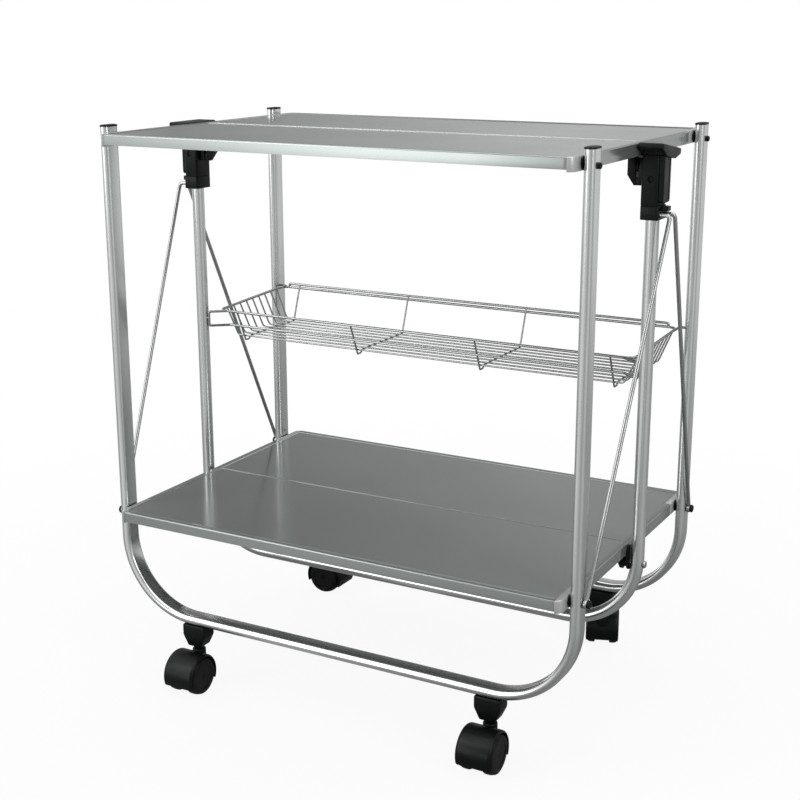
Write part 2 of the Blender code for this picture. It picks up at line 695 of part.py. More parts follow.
def make_collar(side_name, side, plastic, pivot):
    """A sliding collar with a tab over the struts' bent ends, and a bore for each of them."""
    low_z = COLLAR_Z - COLLAR_FALL
    high_z = COLLAR_Z + COLLAR_RISE
    inner = MIDDLE_INNER_X - GAP - COLLAR_WALL
    out = COLLAR_OUT_X
    outline = [(inner, -COLLAR_HALF), (out, -COLLAR_HALF), (out, COLLAR_HALF), (inner, COLLAR_HALF)]
    bm = prism([(side * x, y) for x, y in outline], "Z", low_z, high_z)
    upright = [edge for edge in bm.edges if abs(edge.verts[0].co.z - edge.verts[1].co.z) > GAP]
    bevel_edges(bm, upright, COLUMN_ROUND, 2)
    collar = place_piece(f"{side_name}_collar", bm, plastic, pivot)
    tab_low = high_z - TAB_TALL
    tab_high = high_z - FUSE
    tab_out = out + TAB_LONG
    tab = [(out - FUSE, tab_low), (tab_out, tab_low), (tab_out, tab_high), (out - FUSE, tab_high)]
    combine(collar, prism([(side * x, z) for x, z in tab], "Y", -TAB_HALF, TAB_HALF), "UNION", pivot)
    sleeve = prism(
        [(side * MIDDLE_X + u, v) for u, v in circle(MIDDLE_TUBE_RADIUS + GAP, TUBE_SIDES)],
        "Z", low_z - OVERRUN, high_z + OVERRUN,
    )
    combine(collar, sleeve, "DIFFERENCE", pivot)
    low_x, high_x = side_span(side, out - STRUT_PLUG - GAP, out + OVERRUN)
    for _, sign in ENDS:
        cutter = hole(low_x, high_x, sign * STRUT_TOP_Y, COLLAR_Z, STRUT_WIRE + 2 * GAP)
        combine(collar, cutter, "DIFFERENCE", pivot)


def make_strut(end, sign, side_name, side, metal, pivot):
    """A wire strut: a flat eye on a lower outer pin, and a top that bends inwards into the collar."""
    foot = Vector((side * STRUT_FOOT_X, sign * FRAME_Y, LOW_PIN_Z))
    head = Vector((side * STRUT_HEAD_X, sign * STRUT_TOP_Y, COLLAR_Z))
    tip = Vector((side * (COLLAR_OUT_X - STRUT_PLUG), sign * STRUT_TOP_Y, COLLAR_Z))
    along = (head - foot).normalized()
    root = foot + along * (STRUT_EYE - STRUT_WIRE / 2)
    bm = bmesh.new()
    path = rounded_path([root, head, tip], STRUT_BEND, ROUND_STEPS)
    sweep(bm, path, along.cross((1, 0, 0)), [circle(STRUT_WIRE, WIRE_SIDES + 2)])
    strut = place_piece(f"{end}_{side_name}_strut", bm, metal, pivot)
    half = STRUT_WIRE - FUSE / 2
    eye = [(0, -half), (STRUT_EYE, -half), (STRUT_EYE, half), (0, half)]
    combine(strut, turned(eye, foot, (side, 0, 0), PIN_SIDES), "UNION", pivot)
    low_x, high_x = side_span(side, POST_OUTER_X, STRUT_FOOT_X + STRUT_WIRE + OVERRUN)
    combine(strut, hole(low_x, high_x, foot.y, foot.z, PIN_RADIUS + GAP), "DIFFERENCE", pivot)


# Basket


def rim_height(y):
    """The height of the basket's rim, which rises to the rear."""
    share = (y - BASKET_FRONT_Y) / (BASKET_REAR_Y - BASKET_FRONT_Y)
    return BASKET_FRONT_Z + (BASKET_REAR_Z - BASKET_FRONT_Z) * share


def wire(corners, across, radius, bend=BASKET_ROUND / 2, closed=False):
    """A bent wire of the basket."""
    bm = bmesh.new()
    path = rounded_path([Vector(corner) for corner in corners], bend, WIRE_BEND_STEPS, closed)
    sweep(bm, path, across, [circle(radius, WIRE_SIDES)], closed)
    return bm


def make_basket(metal, pivot):
    """The wire basket: a rim, long wires bent up at both sides, cross wires, a rear rail and four hooks."""
    front = (BASKET_FRONT_Y, BASKET_FRONT_Z)
    rear = (BASKET_REAR_Y, BASKET_REAR_Z)
    slope = Vector((0, rear[0] - front[0], rear[1] - front[1])).normalized()
    rim = [(-BASKET_X, *front), (BASKET_X, *front), (BASKET_X, *rear), (-BASKET_X, *rear)]
    across = Vector((1, 0, 0)).cross(slope)
    basket = place_piece("basket", wire(rim, across, BASKET_WIRE, BASKET_ROUND, True), metal, pivot)
    floor_front = BASKET_FRONT_Y + BASKET_SPLAY
    floor_rear = BASKET_REAR_Y - BASKET_SPLAY
    for index in range(LONG_WIRES):
        y = floor_front + (floor_rear - floor_front) * index / (LONG_WIRES - 1)
        low_x = BASKET_X - BASKET_SPLAY
        top = rim_height(y)
        corners = [(-BASKET_X, y, top), (-low_x, y, BASKET_FLOOR_Z), (low_x, y, BASKET_FLOOR_Z)]
        corners.append((BASKET_X, y, top))
        combine(basket, wire(corners, (0, 1, 0), BASKET_FINE_WIRE), "UNION", pivot)
    rail_z = BASKET_REAR_Z + BASKET_RAIL_RISE
    under = BASKET_FLOOR_Z - 2 * BASKET_FINE_WIRE + FUSE
    for index in range(CROSS_WIRES):
        x = CROSS_REACH * (2 * index / (CROSS_WIRES - 1) - 1)
        corners = [(x, BASKET_FRONT_Y, BASKET_FRONT_Z), (x, floor_front, under), (x, floor_rear, under)]
        corners.append((x, BASKET_REAR_Y, rail_z))
        combine(basket, wire(corners, (1, 0, 0), BASKET_FINE_WIRE), "UNION", pivot)
    rail_in = BASKET_X - BASKET_ROUND
    corners = [(-rail_in, BASKET_REAR_Y, BASKET_REAR_Z), (-rail_in, BASKET_REAR_Y, rail_z)]
    corners += [(rail_in, BASKET_REAR_Y, rail_z), (rail_in, BASKET_REAR_Y, BASKET_REAR_Z)]
    combine(basket, wire(corners, (0, 1, 0), BASKET_WIRE, BASKET_WIRE), "UNION", pivot)
    for _, side in SIDES:
        for y, inner_y, z, wall_x in (
            (0, BASKET_HOOK, BASKET_PIVOT_Z, MIDDLE_INNER_X),
            (FRAME_Y, FRAME_Y - BASKET_HOOK, BASKET_PIVOT_Z + PIVOT_RISE, POST_INNER_X),
        ):
            root = Vector((side * BASKET_X, inner_y, rim_height(inner_y)))
            turn = Vector((side * BASKET_X, y, z))
            tip = Vector((side * (wall_x + TUBE_WALL + BASKET_HOOK_IN), y, z))
            across = (turn - root).cross(tip - turn)
            hook = wire((root, turn, tip), across, BASKET_WIRE, 2 * BASKET_WIRE)
            combine(basket, hook, "UNION", pivot)


# Casters


def make_socket(end, sign, side_name, side, plastic, pivot):
    """The tapered socket under a frame's bar, with the bore for the caster's stem."""
    x = side * CASTER_X
    taper_z = SOCKET_LOW_Z + SOCKET_TAPER
    right = [(SOCKET_LOW_WIDE, SOCKET_LOW_Z), (SOCKET_TOP_WIDE, taper_z), (SOCKET_TOP_WIDE, SOCKET_TOP_Z)]
    outline = right + [(-u, v) for u, v in reversed(right)]
    y = sign * FRAME_Y
    bm = prism([(x + u, v) for u, v in outline], "Y", y - SOCKET_HALF_DEEP, y + SOCKET_HALF_DEEP)
    socket = place_piece(f"{end}_{side_name}_caster_socket", bm, plastic, pivot)
    bore = prism(
        [(x + u, y + v) for u, v in circle(STEM_RADIUS + GAP, PIN_SIDES)],
        "Z", SOCKET_LOW_Z - OVERRUN, SHOULDER_Z + STEM_LONG + 2 * NECK_RADIUS,
    )
    combine(socket, bore, "DIFFERENCE", pivot)


def make_hood(end, sign, side_name, side, plastic, pivot):
    """A caster's hood: a shell over both wheels, a web between them, the axle and the stem."""
    x = side * CASTER_X
    axle_y = sign * (FRAME_Y + CASTER_TRAIL)
    inner = WHEEL_RADIUS + HOOD_PLAY
    outer = inner + HOOD_WALL
    steps = 3 * ROUND_STEPS
    shell = arc(0, 0, outer, HOOD_START, HOOD_END, steps) + arc(0, 0, inner, HOOD_END, HOOD_START, steps)
    plan = [(axle_y + sign * u, AXLE_Z + v) for u, v in shell]
    bm = prism(plan, "X", x - WHEEL_OUT, x + WHEEL_OUT)
    hood = place_piece(f"{end}_{side_name}_caster_hood", bm, plastic, pivot)
    fused = inner + HOOD_WALL / 2
    web = arc(0, 0, fused, HOOD_START, HOOD_END, steps)
    web += arc(0, 0, HUB_RADIUS, HOOD_END + pi / 3, HOOD_START + 3 * pi / 2 + pi / 6, ROUND_STEPS)
    plan = [(axle_y + sign * u, AXLE_Z + v) for u, v in web]
    combine(hood, prism(plan, "X", x - WEB_HALF, x + WEB_HALF), "UNION", pivot)
    half_axle = WHEEL_OUT - WHEEL_SIDE_PLAY
    axle = [(0, -half_axle), (AXLE_RADIUS, -half_axle), (AXLE_RADIUS, half_axle), (0, half_axle)]
    combine(hood, turned(axle, (x, axle_y, AXLE_Z), (1, 0, 0), PIN_SIDES), "UNION", pivot)
    neck_top = SOCKET_LOW_Z - GAP
    foot_z = AXLE_Z + WEB_HALF
    shoulder = WEB_HALF - GAP
    stem = [(0, foot_z), (shoulder, foot_z), (shoulder, SHOULDER_Z - SHOULDER_CHAMFER)]
    stem += [(shoulder - SHOULDER_CHAMFER, SHOULDER_Z), (NECK_RADIUS, SHOULDER_Z), (NECK_RADIUS, neck_top)]
    stem += [(STEM_RADIUS, neck_top), (STEM_RADIUS, neck_top + STEM_LONG), (0, neck_top + STEM_LONG)]
    bm = turned(stem, (x, sign * FRAME_Y, 0), (0, 0, 1), PIN_SIDES + 4)
    combine(hood, bm, "UNION", pivot)


def make_wheel(end, sign, side_name, side, wheel_name, wheel_side, plastic, pivot):
    """One wheel of a twin caster: a bored disc with rounded shoulders, a flat of its rim down."""
    x = side * CASTER_X
    profile = [(AXLE_RADIUS + GAP, WHEEL_IN), (WHEEL_RADIUS - WHEEL_ROUND / 2, WHEEL_IN)]
    profile += [(WHEEL_RADIUS, WHEEL_IN + WHEEL_ROUND / 2), (WHEEL_RADIUS, WHEEL_OUT - WHEEL_ROUND)]
    profile += [(WHEEL_RADIUS - WHEEL_ROUND / 3, WHEEL_OUT - WHEEL_ROUND / 3)]
    profile += [(WHEEL_RADIUS - WHEEL_ROUND, WHEEL_OUT), (AXLE_RADIUS + GAP, WHEEL_OUT)]
    centre = (x, sign * (FRAME_Y + CASTER_TRAIL), AXLE_Z)
    bm = turned(profile, centre, (wheel_side, 0, 0), WHEEL_SIDES, pi / WHEEL_SIDES)
    place_piece(f"{end}_{side_name}_{wheel_name}_wheel", bm, plastic, pivot)


def make_caster(end, sign, side_name, side, turn, plastic, frame_pivot):
    """A socket on the frame, a hood that has swivelled in it by the turn, and two wheels on the hood's axle."""
    make_socket(end, sign, side_name, side, plastic, frame_pivot)
    stem_place = (side * CASTER_X, sign * FRAME_Y, AXLE_Z)
    swivel = make_pivot(f"{end}_{side_name}_swivel", stem_place, frame_pivot)
    swivel[0].rotation_euler.z = turn
    make_hood(end, sign, side_name, side, plastic, swivel)
    axle_place = (side * CASTER_X, sign * (FRAME_Y + CASTER_TRAIL), AXLE_Z)
    for wheel_name, wheel_side in (("left", -1), ("right", 1)):
        spin = make_pivot(f"{end}_{side_name}_{wheel_name}_spin", axle_place, swivel)
        make_wheel(end, sign, side_name, side, wheel_name, wheel_side, plastic, spin)


def main():
    """Builds the whole trolley at rest, unfolded."""
    clear_scene()
    silver = make_material("silver_tube", (0.62, 0.63, 0.64), 0.3, 0.9)
    sheet = make_material("shelf_sheet", (0.42, 0.44, 0.44), 0.35, 0.6)
    moulded = make_material("silver_moulding", (0.55, 0.56, 0.57), 0.4, 0.3)
    chrome = make_material("bright_wire", (0.72, 0.73, 0.74), 0.2, 1.0)
    black = make_material("black_plastic", (0.02, 0.02, 0.022), 0.45, 0.0)
    steel = make_material("pin_steel", (0.5, 0.5, 0.51), 0.3, 1.0)

    middle = make_pivot("middle", (0, 0, 0), None)
    make_middle_frame(silver, middle)
    tops = {}
    lows = {}
    frames = {}
    for end, sign in ENDS:
        tops[end] = make_pivot(f"{end}_top_fold", (0, 0, TOP_MIDDLE_Z), middle)
        lows[end] = make_pivot(f"{end}_low_fold", (0, 0, LOW_MIDDLE_Z), middle)
        frames[end] = make_pivot(f"{end}_frame_fold", (0, sign * FRAME_Y, TOP_PIN_Z), tops[end])
    basket_pivot = make_pivot("basket_fold", (0, 0, BASKET_PIVOT_Z), middle)
    make_basket(chrome, basket_pivot)

    for side_name, side in SIDES:
        slide = make_pivot(f"{side_name}_collar_slide", (side * MIDDLE_X, 0, COLLAR_Z), middle)
        make_collar(side_name, side, black, slide)
        make_housing(side_name, side, black, middle)
        make_grip(side_name, side, black, middle)
        make_pivot_plate(side_name, side, black, middle)
        make_middle_pin("top", TOP_MIDDLE_Z, side_name, side, steel, middle)
        make_middle_pin("low", LOW_MIDDLE_Z, side_name, side, steel, middle)

    rear_turns = {"left": REAR_LEFT_TURN, "right": REAR_RIGHT_TURN}
    for end, sign in ENDS:
        make_outer_frame(end, sign, silver, frames[end])
        make_tray("top", SHELF_TOP_Z, end, sign, sheet, tops[end])
        make_tray("low", SHELF_LOW_Z, end, sign, sheet, lows[end])
        for side_name, side in SIDES:
            make_post_cap(end, sign, side_name, side, black, frames[end])
            make_corner("top", SHELF_TOP_Z, end, sign, side_name, side, moulded, tops[end])
            make_corner("low", SHELF_LOW_Z, end, sign, side_name, side, moulded, lows[end])
            make_outer_pin("top", TOP_PIN_Z, end, sign, side_name, side, black, frames[end])
            make_outer_pin("low", LOW_PIN_Z, end, sign, side_name, side, black, frames[end])
            foot = (side * STRUT_FOOT_X, sign * FRAME_Y, LOW_PIN_Z)
            swing = make_pivot(f"{end}_{side_name}_strut_swing", foot, frames[end])
            make_strut(end, sign, side_name, side, steel, swing)
            turn = rear_turns[side_name] if end == "rear" else 0
            make_caster(end, sign, side_name, side, turn, black, frames[end])

    strut_rise = COLLAR_Z - LOW_PIN_Z
    lean = degrees(atan2(FRAME_Y - STRUT_TOP_Y, strut_rise))
    print(f"Fold {degrees(FOLD):.0f} degrees; struts lean {lean:.2f} degrees when the trolley is open")


main()
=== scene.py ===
"""The look of a folding serving trolley, laid over its packed parts.

Two shelves of two hinged halves each hang between three tube frames. Handles on the middle frame
lift the shelves' hinge line, a wire basket fills the rear bay, and four twin casters carry it all.
Lengths are in metres, +Z is up, -Y is the front, and the floor is at zero.
"""

import json
from math import cos, pi, radians, sin, tan

import bmesh
import bpy
from mathutils import Matrix, Quaternion, Vector


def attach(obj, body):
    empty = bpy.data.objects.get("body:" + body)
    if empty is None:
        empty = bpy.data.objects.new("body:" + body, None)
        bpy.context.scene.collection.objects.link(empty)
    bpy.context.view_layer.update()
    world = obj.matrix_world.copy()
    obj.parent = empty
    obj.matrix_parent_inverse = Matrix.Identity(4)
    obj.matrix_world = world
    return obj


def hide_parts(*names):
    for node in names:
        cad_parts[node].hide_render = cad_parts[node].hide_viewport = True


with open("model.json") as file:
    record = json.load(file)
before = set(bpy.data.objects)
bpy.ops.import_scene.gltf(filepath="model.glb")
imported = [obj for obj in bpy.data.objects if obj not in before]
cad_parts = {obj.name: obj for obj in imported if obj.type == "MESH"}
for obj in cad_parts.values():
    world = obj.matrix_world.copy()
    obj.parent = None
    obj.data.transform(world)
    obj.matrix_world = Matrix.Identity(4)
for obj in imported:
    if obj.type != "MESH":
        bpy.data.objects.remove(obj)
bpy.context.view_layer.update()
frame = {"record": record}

bl_info = {
    "name": "Folding Trolley",
    "version": (1, 0, 0),
    "blender": (4, 5, 0),
    "location": "View3D > Sidebar > Trolley",
    "description": "Builds a folding serving trolley piece by piece over its packed parts",
    "category": "Object",
}

SIDES = {"left": -1, "right": 1}
ENDS = {"front": -1, "rear": 1}
CASTER_TURNS = {"rear_left": radians(90), "rear_right": radians(20)}  # how the rear casters stand swivelled
HOOD_OPENING = (radians(205), radians(340))  # where a hood ends, under the wheels, from its trailing side
HOOD_WALL = 0.0028  # thickness of a hood
EAR_X = {"front": 0.2987, "rear": 0.3005}  # from the middle to the inner sides of each half's hinge ears
EAR_THICK, EAR_ROUND, EAR_ROOT = 0.0015, 0.009, 0.032  # an ear's sheet, round end and reach along the shelf
GRIP_ROCK = {"left": (0.0, 0.0), "right": (radians(-9), 0.005)}  # how far each grip is rocked and lowered
TOUCH = 0.0003  # the usual gap or overlap between neighbours
FACET = 0.99  # how squarely a face or an edge has to look along an axis
EARS_INSIDE, EARS_OUTSIDE = EAR_X["front"] - TOUCH, EAR_X["rear"] + EAR_THICK + TOUCH


def corners():
    """The names of the four corners, each with its signs along X and Y."""
    for end, sign in ENDS.items():
        for side_name, side in SIDES.items():
            yield f"{end}_{side_name}", side, sign


def length(name, description, default):
    """A size in metres, as the sidebar shows it."""
    return bpy.props.FloatProperty(name=name, description=description, default=default, min=0.0,
                                   unit="LENGTH", subtype="DISTANCE", precision=4)


def number(name, description, default):
    """A number of like things, as the sidebar shows it."""
    return bpy.props.IntProperty(name=name, description=description, default=default, min=2)


def shade(name, description, default):
    """A colour, as the sidebar shows it."""
    return bpy.props.FloatVectorProperty(name=name, description=description, default=default, min=0.0,
                                         max=1.0, size=3, subtype="COLOR")


class TrolleyFrameSizes(bpy.types.PropertyGroup):
    """Sizes of the three tube frames."""

    post_x: length("Outer post", "From the middle to the axis of an outer post", 0.315)
    post_y: length("Outer frame", "From the middle to the plane of an outer frame", 0.180)
    oval: length("Oval tube", "Narrow side of the flat-oval tube", 0.0125)
    outer_top: length("Outer top", "Height of the outer tubes' ends", 0.7195)
    outer_bar: length("Outer bar", "Height of the outer frames' lower bar", 0.09305)
    outer_bend: length("Outer bend", "Radius of the outer frames' bends", 0.100)
    middle_x: length("Middle post", "From the middle to the axis of a middle post", 0.3193)
    middle_round: length("Middle tube", "Radius of the middle tube", 0.008)
    middle_top: length("Middle top", "Height of the middle tube's ends", 0.7007)
    middle_bar: length("Middle bar", "Height of the middle frame's lower bar", 0.122)
    middle_bend: length("Middle bend", "Radius of the middle frame's bends", 0.092)
    cap_top: length("Cap top", "Height of the end caps", 0.7220)
    cap_edge: length("Cap edge", "Rounding of an end cap", 0.0007)
    cap_dome: length("Cap dome", "Width of the slope round a cap's crown", 0.0022)


class TrolleyShelfSizes(bpy.types.PropertyGroup):
    """Sizes of the four shelf halves."""

    top: length("Top shelf", "Height of the top shelf's surface", 0.713)
    low: length("Lower shelf", "Height of the lower shelf's surface", 0.234)
    half_x: length("Half width", "From the middle to a shelf's side", 0.3068)
    deep_y: length("Half depth", "From the hinge line to a shelf's outer edge", 0.211)
    rim: length("Rim", "Depth of the outer rim", 0.013)
    skirt: length("Skirt", "Depth of the side skirts", 0.0155)
    sheet: length("Sheet", "Thickness of the sheet", 0.0008)
    round: length("Corner", "Radius of the outer corners", 0.011)
    seam_x: length("Seam", "From the middle to a corner block", 0.2993)
    block: length("Corner block", "Length of a corner block", 0.056)
    outer_drop: length("Outer pivot", "Depth of the outer pivot below the surface", 0.0105)
    middle_drop: length("Middle pivot", "Depth of the middle pivot below the surface", 0.026)
    border: length("Border", "Width of the raised border", 0.009)
    border_step: length("Border step", "How far the field lies below the border", 0.0006)
    edge: length("Edge", "Rounding of the top edges", 0.0016)
    inner_edge: length("Hinge edge", "Rounding of the edges at the hinge line", 0.0020)


class TrolleyPinSizes(bpy.types.PropertyGroup):
    """Sizes of the pins, spacers and rivets."""

    shaft: length("Shaft", "Radius of an outer pin", 0.0025)
    shaft_in: length("Shaft inside", "How far an outer pin reaches into its corner block", 0.0059)
    spacer: length("Spacer", "Radius of a spacer's round ends", 0.00725)
    spacer_long: length("Spacer length", "From a spacer's middle to the centre of its round ends", 0.00475)
    top_head: length("Upper head", "Radius of an upper pin's head", 0.0035)
    top_head_tall: length("Upper head height", "Height of an upper pin's head", 0.0035)
    low_head: length("Lower head", "Radius of a lower pin's head", 0.005)
    low_head_tall: length("Lower head height", "Height of a lower pin's head", 0.0026)
    sunk: length("Recess", "Depth of the recess in a head", 0.0005)
    spacer_edge: length("Spacer edge", "Rounding of a spacer's edges", 0.00035)
    top_dome: length("Upper dome", "Rounding of an upper head", 0.0013)
    top_ring: length("Upper ring", "Width of the ring round an upper head's recess", 0.0008)
    low_dome: length("Lower dome", "Rounding of a lower head", 0.0016)
    low_ring: length("Lower ring", "Width of the ring round a lower head's recess", 0.0014)
    rivet_dome: length("Rivet dome", "Rounding of a rivet's head", 0.0018)
    rivet_foot: length("Rivet foot", "Rounding of a rivet's inner head", 0.0012)
    rivet: length("Rivet", "Radius of a rivet", 0.003)
    rivet_in: length("Rivet inside", "From the middle to an upper rivet's inner end", 0.2919)
    rivet_out: length("Rivet outside", "How far an upper rivet reaches into its sleeve", 0.00125)
    rivet_head: length("Rivet head", "Radius of a rivet's head", 0.0045)
    rivet_tall: length("Rivet head height", "Height of a rivet's head", 0.0025)


class TrolleyHandleSizes(bpy.types.PropertyGroup):
    """Sizes of the handles, collars and struts."""

    inner_x: length("Sleeve inside", "From the middle to the sleeve's inner side", 0.3085)
    outer_x: length("Sleeve outside", "From the middle to the sleeve's outer side", 0.32885)
    half_y: length("Sleeve depth", "Half of the sleeve's depth", 0.015)
    low: length("Sleeve foot", "Height of the sleeve's lower end", 0.642)
    grip_half: length("Grip", "Half of the grip's length", 0.033)
    grip_out: length("Grip reach", "From the middle to the grip's outer edge", 0.33865)
    grip_top: length("Grip top", "Height of the grip's top", 0.714)
    grip_deep: length("Grip depth", "Depth of the grip's head", 0.013)
    grip_rise: length("Grip rise", "How far the underside rises to the grip's ends", 0.007)
    cover_in: length("Cover inside", "From the middle to the cover's inner face", 0.32915)
    cover_out: length("Cover outside", "From the middle to the cover's outer face", 0.33465)
    cover_half: length("Cover", "Half of the cover's width", 0.012)
    wing_in: length("Wing inside", "From the middle to the wing's inner side", 0.2894)
    wing_half: length("Wing", "Half of the wing's width", 0.007)
    wing_top: length("Wing top", "Depth of the wing's top below the shelf", 0.019)
    wing_foot: length("Wing foot", "Depth of the wing's foot below the shelf", 0.050)
    wing_slant: length("Wing slant", "Height of the wing's slanted foot", 0.012)
    boss: length("Boss", "Radius of the bosses at the shelves' pivots", 0.006)
    screw: length("Screw", "Radius of a screw's head", 0.0031)
    corner: length("Corner", "Rounding of the sleeve's and the collar's corners", 0.003)
    crisp: length("Edge", "Rounding of the sleeve's and the collar's edges", 0.0008)
    collar_low: length("Collar foot", "Height of the collar's lower face", 0.626)
    collar_top: length("Collar top", "Height of the collar's upper face", 0.642)
    collar_out: length("Collar outside", "From the middle to the collar's outer side", 0.3301)
    foot_x: length("Strut foot", "From the middle to a strut's foot", 0.32405)
    head_x: length("Strut head", "From the middle to a strut's upper bend", 0.3425)
    head_y: length("Strut spread", "From the hinge line to a strut's upper end", 0.0078)
    strut_round: length("Strut wire", "Radius of the strut's wire", 0.0025)
    strut_top: length("Strut top", "Height of the struts' upper ends", 0.632)
    strut_bend: length("Strut bend", "Radius of the strut's upper bend", 0.005)
    strut_bore: length("Strut bore", "Depth of the collar's bore for a strut's end", 0.0026)
    eye: length("Eye", "Radius of the eye at a strut's foot", 0.0055)
    eye_hole: length("Eye hole", "Radius of the hole in the eye", 0.0028)
    tab_half: length("Tab", "Half of the tab's width", 0.006)
    tab_out: length("Tab reach", "How far the tab stands out of the collar", 0.0085)
    tab_deep: length("Tab depth", "Depth of the tab", 0.0056)


class TrolleyBasketSizes(bpy.types.PropertyGroup):
    """Sizes of the wire basket."""

    half_x: length("Half width", "From the middle to the basket's side", 0.29975)
    front_y: length("Front", "From the hinge line to the front rim", 0.012)
    rear_y: length("Rear", "From the hinge line to the rear rim", 0.170)
    front_z: length("Front height", "Height of the front rim", 0.458)
    rear_z: length("Rear height", "Height of the rear rim", 0.465)
    floor_z: length("Floor", "Height of the floor wires", 0.422)
    splay: length("Splay", "How far the sides lean out", 0.018)
    rim_wire: length("Rim wire", "Radius of the rim's wire", 0.00175)
    fine_wire: length("Fine wire", "Radius of the fine wires", 0.0012)
    long_wires: number("Long wires", "Wires along the basket", 9)
    cross_wires: number("Cross wires", "Wires across the basket", 4)
    cross_reach: length("Cross reach", "From the middle to the outermost cross wire", 0.270)
    pivot_z: length("Front hooks", "Height of the hooks in the middle posts", 0.4485)
    rear_pivot_z: length("Rear hooks", "Height of the hooks in the rear posts", 0.464)
    rim_bend: length("Rim corner", "Radius of the rim's corners", 0.012)
    side_bend: length("Side bend", "Radius of the long wires' bends", 0.006)
    foot_long: length("Foot", "Length of a cross wire's foot", 0.008)
    foot_deep: length("Foot depth", "How far a cross wire's foot stands below the floor wires", 0.004)
    rail_up: length("Rail", "Height of the rear rail over the rim", 0.005)
    rail_in: length("Rail end", "From the basket's side to the rail's end", 0.012)
    rail_bend: length("Rail bend", "Radius of the rail's bends", 0.0018)
    cross_bend: length("Cross bend", "Radius of the cross wires' bends", 0.0022)
    second_in: length("Second wire", "From the front rim back to the second wire", 0.0065)
    second_down: length("Second wire depth", "Depth of the second wire below the front rim", 0.0205)
    loop_x: length("Front loop", "From the middle to the loops beside the middle posts", 0.3090)
    loop_in: length("Loop start", "From the basket's side to where a front loop starts", 0.013)
    front_tip: length("Front tip", "From the middle to a front hook's tip", 0.3143)
    rear_tip: length("Rear tip", "From the middle to a rear hook's tip", 0.31175)
    rear_hook_y: length("Rear hook", "From the hinge line to the rear hooks", 0.180)
    rear_hook_long: length("Rear hook length", "How far forward a rear hook starts on the rim", 0.030)


class TrolleyCasterSizes(bpy.types.PropertyGroup):
    """Sizes of the twin casters."""

    stem_x: length("Stem", "From the middle to a caster's stem", 0.2105)
    trail: length("Trail", "From the stem to the axle", 0.021)
    axle_z: length("Axle", "Height of the axle", 0.02469)
    wheel: length("Wheel", "Radius of a wheel", 0.02468)
    wheel_in: length("Wheel inside", "From the caster's middle to a wheel", 0.0098)
    wheel_out: length("Wheel outside", "From the caster's middle to a wheel's outer face", 0.0226)
    hood: length("Hood", "Outer radius of the hood", 0.0288)
    shoulder_z: length("Shoulder", "Height of the hood's shoulder", 0.0525)
    web: length("Web", "Radius of the web about the axle", 0.0165)
    socket_low: length("Socket foot", "Height of the socket's lower face", 0.0568)
    socket_top: length("Socket top", "Height of the socket's upper face", 0.0866)
    socket_wide: length("Socket width", "Half of the socket's width at the top", 0.017)
    socket_narrow: length("Socket foot width", "Half of the socket's width at the foot", 0.010)
    socket_deep: length("Socket depth", "Half of the socket's depth", 0.0115)
    socket_neck: length("Socket neck", "Height of the socket's tapered foot", 0.015)
    hood_round: length("Hood edge", "Rounding of the hood's rims", 0.0040)
    axle: length("Axle pin", "Radius of the axle", 0.003)
    shoulder: length("Shoulder width", "Radius of the hood's shoulder", 0.0087)
    neck: length("Neck", "Radius of the stem", 0.00575)
    tread: length("Tread", "Rounding of a wheel's outer shoulder", 0.0070)
    inner_tread: length("Inner tread", "Rounding of a wheel's inner shoulder", 0.0014)


class TrolleyColours(bpy.types.PropertyGroup):
    """Colours of the finishes."""

    tube: shade("Tube", "Silver of the frames", (0.57, 0.58, 0.575))
    sheet: shade("Shelf", "Grey of the shelves", (0.246, 0.268, 0.261))
    moulding: shade("Corner blocks", "Silver of the moulded corners", (0.46, 0.47, 0.47))
    wire: shade("Wire", "Bright wire of the basket", (0.27, 0.28, 0.275))
    steel: shade("Steel", "Plated steel of struts and rivets", (0.34, 0.345, 0.345))
    black: shade("Plastic", "Black plastic of the handles and caps", (0.0035, 0.0042, 0.0042))
    wheel: shade("Wheels", "Black plastic of the wheels", (0.003, 0.0036, 0.0036))
    floor: shade("Floor", "Pale floor", (0.90, 0.90, 0.90))


# Shaping by hand


def leave_edit():
    """Goes back to object mode."""
    bpy.ops.object.mode_set(mode="OBJECT")


def at_rest():
    """Leaves edit mode and deselects everything."""
    if bpy.context.object and bpy.context.object.mode != "OBJECT":
        leave_edit()
    bpy.ops.object.select_all(action="DESELECT")


def take(piece):
    """Makes one piece the only selected and the active one."""
    at_rest()
    piece.select_set(True)
    bpy.context.view_layer.objects.active = piece


def settle(piece):
    """Puts the piece's place, turn and scale into its mesh."""
    take(piece)
    bpy.ops.object.transform_apply(location=True, rotation=True, scale=True)


def newest(name):
    """Names the piece that was just added."""
    piece = bpy.context.object
    piece.name = name
    piece.data.name = name
    settle(piece)
    return piece


def start_block(name, low, high):
    """A block between two opposite corners, ready to be shaped."""
    at_rest()
    low, high = Vector(low), Vector(high)
    bpy.ops.mesh.primitive_cube_add(size=1, location=(low + high) / 2)
    bpy.context.object.scale = high - low
    return newest(name)


def start_drum(name, centre, radius, long, axis="X", sides=48):
    """A drum about an axis, ready to be shaped."""
    at_rest()
    turn = {"X": (0, pi / 2, 0), "Y": (pi / 2, 0, 0), "Z": (0, 0, 0)}[axis]
    bpy.ops.mesh.primitive_cylinder_add(vertices=sides, radius=radius, depth=long, location=centre,
                                        rotation=turn)
    return newest(name)


def every(item):
    """A test that all points, edges or faces pass."""
    return True


